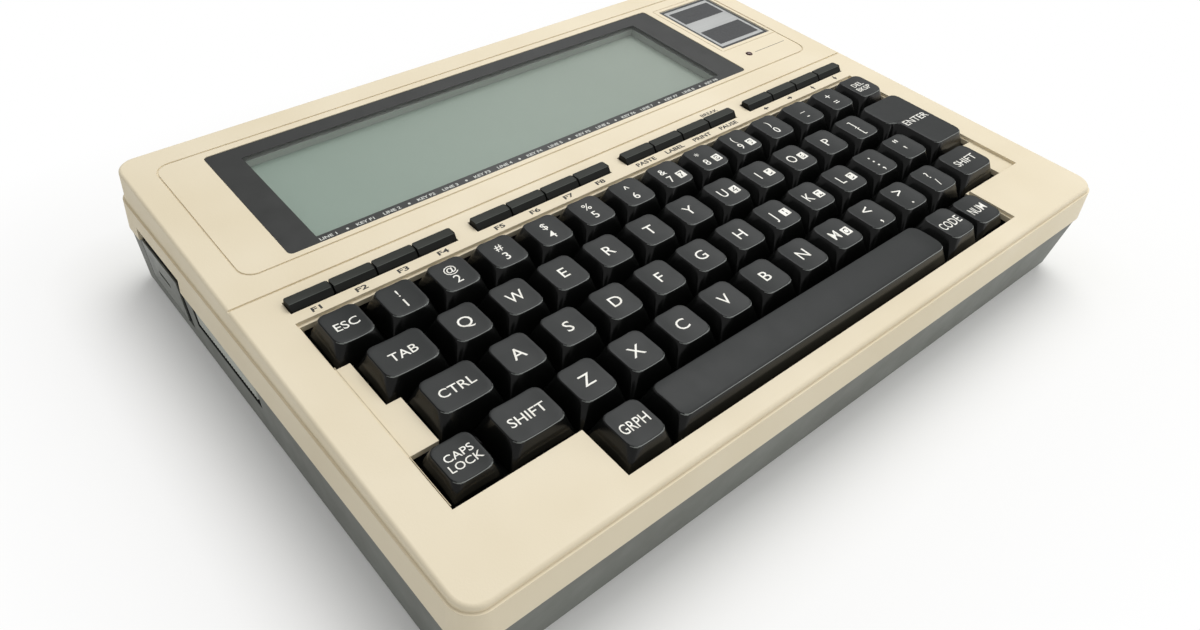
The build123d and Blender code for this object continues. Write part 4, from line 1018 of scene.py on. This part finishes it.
# The strip is given a paler grey than the port cover as painted light, making up for the shade
# of the case above it.
strip_abs_painted_light = moulded(
    "pale_grey_abs_ribbed_painted_light", "#c2c5be", "#b9bcb5", "#d0d2cb", patch=12,
    grain=(0.5, 0.01), shine=(0.38, 0.5), edge=0.2,
)
recess_back, recess_front, recess_floor = -48.5, -1.0, 15.5
strip_back, strip_front = -46.0, -1.6
strip_low, strip_high = 18.2, 25.5
strip_root, strip_valley = -3.0, -0.4
rib_pitch = 1.5
rib_sink = 0.2
rib_bevel = 0.1
bracket_half = 2
bracket_low, bracket_root = 10.1, -7.5
brackets = (strip_back + bracket_half, -24.0, strip_front - bracket_half)
strip = bmesh.new()
add_block(strip, rectangle(strip_back, strip_front, strip_low, strip_high), strip_root,
          strip_valley)
for index in range(int((strip_front - strip_back) / rib_pitch)):
    x = strip_back + (index + 0.25) * rib_pitch
    add_block(strip, rectangle(x, x + rib_pitch / 2, strip_low, strip_high),
              strip_valley - rib_sink, 0, rib_bevel)
for x in brackets:
    add_block(strip, rectangle(x - bracket_half, x + bracket_half, bracket_low, strip_high),
              bracket_root, strip_root + rib_sink)
show("ribbed_strip", strip, left_wall, strip_abs_painted_light, replaced=["switch_strip"])

# Black sheets line the floor and back end of the sliders' recess as painted shade, and no light
# comes back from them.
black_slot_shade = moulded(
    "black_painted_slot_shade", "#0d0d0c", "#121211", "#1a1a19", patch=4,
    grain=(0.4, 0.05), shine=(0.85, 0.95), edge=0.05,
)
slot_shade_thickness = 0.2
slot_shade_root, slot_shade_face = -6, -0.1
slot_shade_sheets = bmesh.new()
for slot_shade_edge in (
    rectangle(recess_back, recess_front, recess_floor, recess_floor + slot_shade_thickness),
    rectangle(recess_back, recess_back + slot_shade_thickness, recess_floor, strip_high),
):
    add_block(slot_shade_sheets, slot_shade_edge, slot_shade_root, slot_shade_face)
show("slot_painted_shade", slot_shade_sheets, left_wall, black_slot_shade)

# Black acetal, the sliders' and buttons' slippery plastic: deep black with a soft sheen.
black_acetal = moulded(
    "black_acetal_moulded", "#191b1a", "#202221", "#3a3d3b", patch=6,
    grain=(0.3, 0.006), shine=(0.3, 0.42), edge=0.25, ior=1.48,
)
dress(black_acetal, "answer_originate_knob", "coupler_knob", "power_switch_knob",
      "memory_power_knob", "contrast_dial", "power_jack")

# Rear connectors
# A D socket, a boxed pin header and two round sockets stand on the main board and reach
# through the rear wall, beside the reset button.


def plated(name, low, high, patch, shine):
    """Plated or bare metal, a little cloudy."""
    material = new_material(name)
    patches = blotches(material, patch, 0.3, 0.7, 4.0)
    colour = add(material, "Mix", {0: patches, 6: low, 7: high}, 2, data_type="RGBA")
    return surfaced(material, {
        "Base Color": colour, "Roughness": uneven(material, patch / 2, *shine, detail=4.0),
        "Metallic": 1.0,
    })


# Nickel plate: bright, slightly yellow grey, dulled in small clouds.
nickel_plate = plated("nickel_plated_steel", "#a9a7a0", "#c4c2ba", 5, (0.22, 0.38))
# Gold flash on bronze contacts: warm, and a little cloudy.
gold_flash = plated("gold_flash_on_bronze", "#b8964a", "#d0ae62", 1.5, (0.2, 0.32))
dress(nickel_plate, "serial_connector", "phone_and_cassette_sockets", "battery_contacts")
dress(black_nylon, "printer_connector")
dress(black_acetal, "reset_button")

# Upright on the rear wall: x runs to the right as seen from behind, and z out of the wall.
rear_face = 106.5
rear_place = millimetres @ Matrix((
    (-1, 0, 0, 0), (0, 0, 1, rear_face), (0, 1, 0, 0), (0, 0, 0, 1),
))
serial_x, serial_z = 86.0, 16.35
serial_pitch, serial_row_offset = 2.76, 1.42
serial_profile = [(0.62, -0.6), (0.62, 0.66), (0.4, 0.66), (0.4, 0.0)]
contacts = bmesh.new()
for row, count in ((1, 13), (-1, 12)):
    for index in range(count):
        x = (index - (count - 1) / 2) * serial_pitch - serial_x
        add_turned(contacts, x, serial_z + row * serial_row_offset, serial_profile, steps=12)
show("serial_contacts", contacts, rear_place, gold_flash)

printer_x, printer_z = 18.0, 14.6
pin_columns, pin_pitch = 13, 2.54
pin_half, pin_root, pin_tip = 0.34, -8.2, -2.15
pin_bevel = 0.1
pins = bmesh.new()
for column in range(pin_columns):
    for row in (-1, 1):
        x = (column - (pin_columns - 1) / 2) * pin_pitch - printer_x
        z = printer_z + row * pin_pitch / 2
        add_block(pins, around(x, z, pin_half, pin_half), pin_root, pin_tip, pin_bevel)
show("printer_pins", pins, rear_place, gold_flash)

# Eight contacts: seven on a circle that is open below, and one in its middle
round_sockets, round_z = (42.0, 76.0), 17.8
insert_profile = [(6.6, -1.3), (6.6, -0.72), (6.4, -0.6)]
hole_profile = [(0.85, -1.2), (0.85, -0.56), (0.55, -0.56), (0.55, -1.1)]
hole_circle = 3.5
hole_places = [
    (hole_circle * math.cos(turn), hole_circle * math.sin(turn))
    for turn in map(math.radians, range(-45, 270, 45))
] + [(0, 0)]
inserts, holes = bmesh.new(), bmesh.new()
for socket_x in round_sockets:
    add_turned(inserts, socket_x, round_z, insert_profile, steps=40)
    for x, z in hole_places:
        add_turned(holes, socket_x + x, round_z + z, hole_profile, steps=14)
show("socket_inserts", inserts, rear_place, black_nylon)
show("socket_contacts", holes, rear_place, gold_flash)

# Battery compartment
# Four AA cells in printed sleeves, two and two end to end, between sprung contacts, and the
# rechargeable cell on the main board that keeps the memory alive.
cell_pitch = 50.5
battery_x = 62.0
band_width = 12


def cell_sleeve(name, body_colour, band_colour):
    """A shrunk plastic sleeve over a steel can, with a band round one end."""
    material = new_material(name)
    place = add(material, "TexCoord", {}, "Object")
    along = add(material, "Math", {
        0: add(material, "SeparateXYZ", {"Vector": place}, "X"), 1: cell_pitch / 1000,
        2: battery_x / 1000,
    }, operation="WRAP")
    banded = add(material, "Math", {0: along, 1: (battery_x - band_width) / 1000},
                 operation="GREATER_THAN")
    colour = add(material, "Mix", {0: banded, 6: body_colour, 7: band_colour}, 2,
                 data_type="RGBA")
    return surfaced(material, {
        "Base Color": colour, "Roughness": uneven(material, 6, 0.25, 0.4), "IOR": 1.5,
        "Coat Weight": 0.4,
    })


dress(cell_sleeve("cell_sleeve_banded", "#23262a", "#a8743a"), "battery_cells")
dress(cell_sleeve("cell_sleeve_green", "#2f6b46", "#377a50"), "backup_battery")

# Screws
# Four pan-head screws of zinc-plated steel, each with a cross recess, draw the shells together
# from below.
screw_places = [(x, y) for x in (-140, 140) for y in (-95.5, 95.5)]
screw_profile = [
    (2.4, 3.5), (2.75, 3.75), (2.9, 4.2), (2.9, 5.4), (1.5, 5.4), (1.5, 31.0), (1.1, 32.0),
]
arm, arm_half = 1.7, 0.35
cross_outline = [
    (arm_half, arm_half), (arm_half, arm), (-arm_half, arm), (-arm_half, arm_half),
    (-arm, arm_half), (-arm, -arm_half), (-arm_half, -arm_half), (-arm_half, -arm),
    (arm_half, -arm), (arm_half, -arm_half), (arm, -arm_half), (arm, arm_half),
]
cross_taper = ((1.0, 3.3), (0.7, 4.7))
zinc_plate = plated("zinc_plated_steel", "#8f918f", "#a8aaa6", 3, (0.3, 0.45))


def add_screw(shape, x, y):
    """Adds one screw, head down, with a cross cut in its head."""
    made, cross = bmesh.new(), bmesh.new()
    add_turned(made, x, y, screw_profile, steps=28)
    skin(cross, [
        [Vector((x + px * size, y + py * size, z)) for px, py in cross_outline]
        for size, z in cross_taper
    ])
    bmesh.ops.recalc_face_normals(cross, faces=cross.faces)
    screw = as_object("screw", made)
    cutter = as_object("cross", cross)
    cut = screw.modifiers.new("cut", "BOOLEAN")
    cut.object = cutter
    cut.operation = "DIFFERENCE"
    result = bpy.data.meshes.new_from_object(
        screw.evaluated_get(bpy.context.evaluated_depsgraph_get())
    )
    shape.from_mesh(result)
    spent = [result, screw.data, cutter.data]
    for item in (screw, cutter):
        bpy.data.objects.remove(item)
    for mesh in spent:
        bpy.data.meshes.remove(mesh)


screws = bmesh.new()
for x, y in screw_places:
    add_screw(screws, x, y)
show("cross_head_screws", screws, millimetres, zinc_plate, replaced=["case_screws"])

# Feet
# Four round feet of black rubber, stuck in shallow recesses of the floor. Their lower rims are
# rounded, and table dust has greyed them.
rubber = moulded(
    "black_rubber_dusty", "#1c1c1b", "#2b2b29", "#3d3d3a", patch=3,
    grain=(0.5, 0.02), shine=(0.7, 0.85), edge=0.3, ior=1.52,
)
foot_places = [(x, y) for x in (-126, 126) for y in (-87.5, 87.5)]
foot_profile = [
    (2.6, 0.35), (3.0, 0.0), (5.0, 0.0), (5.35, 0.1), (5.55, 0.4), (5.95, 2.6), (5.95, 3.3),
]
feet = bmesh.new()
for x, y in foot_places:
    add_turned(feet, x, y, foot_profile, steps=40)
show("turned_feet", feet, millimetres, rubber, replaced=["rubber_feet"])

# Table
# A plain white table top that keeps the computer's soft shadow and runs past every view. To the
# eye and in mirrors a painted white glow lightens that shadow, least beside the case, until the
# top is clean white a hand's width away.
case_half = (0.15, 0.1075, 0)
shadow_width, white_from = 0.035, 0.1
least_white, shadow_white = 0.12, 0.72
table_half = 4
table_white = new_material("white_laminate_table")
seen = add(table_white, "LightPath", {}, "Is Camera Ray")
for kind in ("Is Glossy Ray", "Is Transmission Ray"):
    ray = add(table_white, "LightPath", {}, kind)
    seen = add(table_white, "Math", {0: seen, 1: ray}, operation="MAXIMUM")
aside = add(table_white, "TexCoord", {}, "Object")
aside = add(table_white, "VectorMath", {0: aside}, operation="ABSOLUTE")
aside = add(table_white, "VectorMath", {0: aside, 1: case_half}, operation="SUBTRACT")
aside = add(table_white, "VectorMath", {0: aside, 1: (0, 0, 0)}, operation="MAXIMUM")
aside = add(table_white, "VectorMath", {0: aside}, "Value", operation="LENGTH")
# Painted light: the glow's share grows from least_white beside the case to full white further
# out.
near = add(table_white, "MapRange", {
    "Value": aside, "From Max": shadow_width, "To Min": least_white, "To Max": shadow_white,
})
far = add(table_white, "MapRange", {
    "Value": aside, "From Min": shadow_width, "From Max": white_from, "To Max": 1 - shadow_white,
})
painted_glow_share = add(table_white, "Math", {0: near, 1: far}, operation="ADD")
painted_glow_share = add(table_white, "Math", {0: painted_glow_share, 1: seen}, operation="MULTIPLY")
laminate = add(table_white, "BsdfDiffuse", {"Color": "#efefec"})
white = add(table_white, "Emission", {"Color": (1, 1, 1, 1), "Strength": 1.0})
table_shader = add(table_white, "MixShader", {0: painted_glow_share, 1: laminate, 2: white})
add(table_white, "OutputMaterial", {"Surface": table_shader})
table_top = bmesh.new()
table_corners = around(0, 0, table_half, table_half)
table_top.faces.new([table_top.verts.new((c.x, c.y, 0)) for c in table_corners])
table = as_object("table", table_top)
table.data.materials.append(table_white)

# Light
# A softbox high over the right side, a weaker and wider one low in front of it, and the white
# room all round.
scene = bpy.context.scene
world = bpy.data.worlds.new("white_room")
world.use_nodes = True
room = world.node_tree.nodes["Background"]
room.inputs["Color"].default_value = (1, 1, 1, 1)
room_light, seen_room_light = 0.52, 1.0
room_seen = add(world, "LightPath", {}, "Is Camera Ray")
room_strength = add(world, "Mix", {0: room_seen, 2: room_light, 3: seen_room_light})
world.node_tree.links.new(room_strength, room.inputs["Strength"])
scene.world = world

light_target = Vector((0, 0, 0.04))
for name, place, size, energy in (
    ("high_softbox", (0.55, 0.3, 1.2), 0.9, 10.8),
    ("front_softbox", (0.7, -0.75, 0.55), 1.0, 3.0),
):
    softbox = bpy.data.lights.new(name, "AREA")
    softbox.size = size
    softbox.energy = energy
    softbox_object = bpy.data.objects.new(name, softbox)
    softbox_object.location = place
    aim = light_target - softbox_object.location
    softbox_object.rotation_euler = aim.to_track_quat("-Z", "Y").to_euler()
    scene.collection.objects.link(softbox_object)

# Camera
# It stands over the left front corner and looks across the keyboard, as in the photograph.
# The lens is shifted a little, because the photograph is cropped off its own middle.
lens = bpy.data.cameras.new("camera")
lens.sensor_width = 36
lens.lens = 26.91
lens.shift_x = 0.0638
lens.clip_start = 0.02
camera = bpy.data.objects.new("camera", lens)
camera_place = Vector((-0.20738, -0.19142, 0.22524))
looks_right = Vector((0.78092, -0.6239, 0.03028))
looks_up = Vector((0.40004, 0.53678, 0.74286))
looks_back = looks_right.cross(looks_up)
camera_axes = Matrix((looks_right, looks_up, looks_back)).transposed().to_4x4()
camera.matrix_world = Matrix.Translation(camera_place) @ camera_axes
scene.collection.objects.link(camera)
scene.camera = camera
scene.view_settings.view_transform = "Standard"
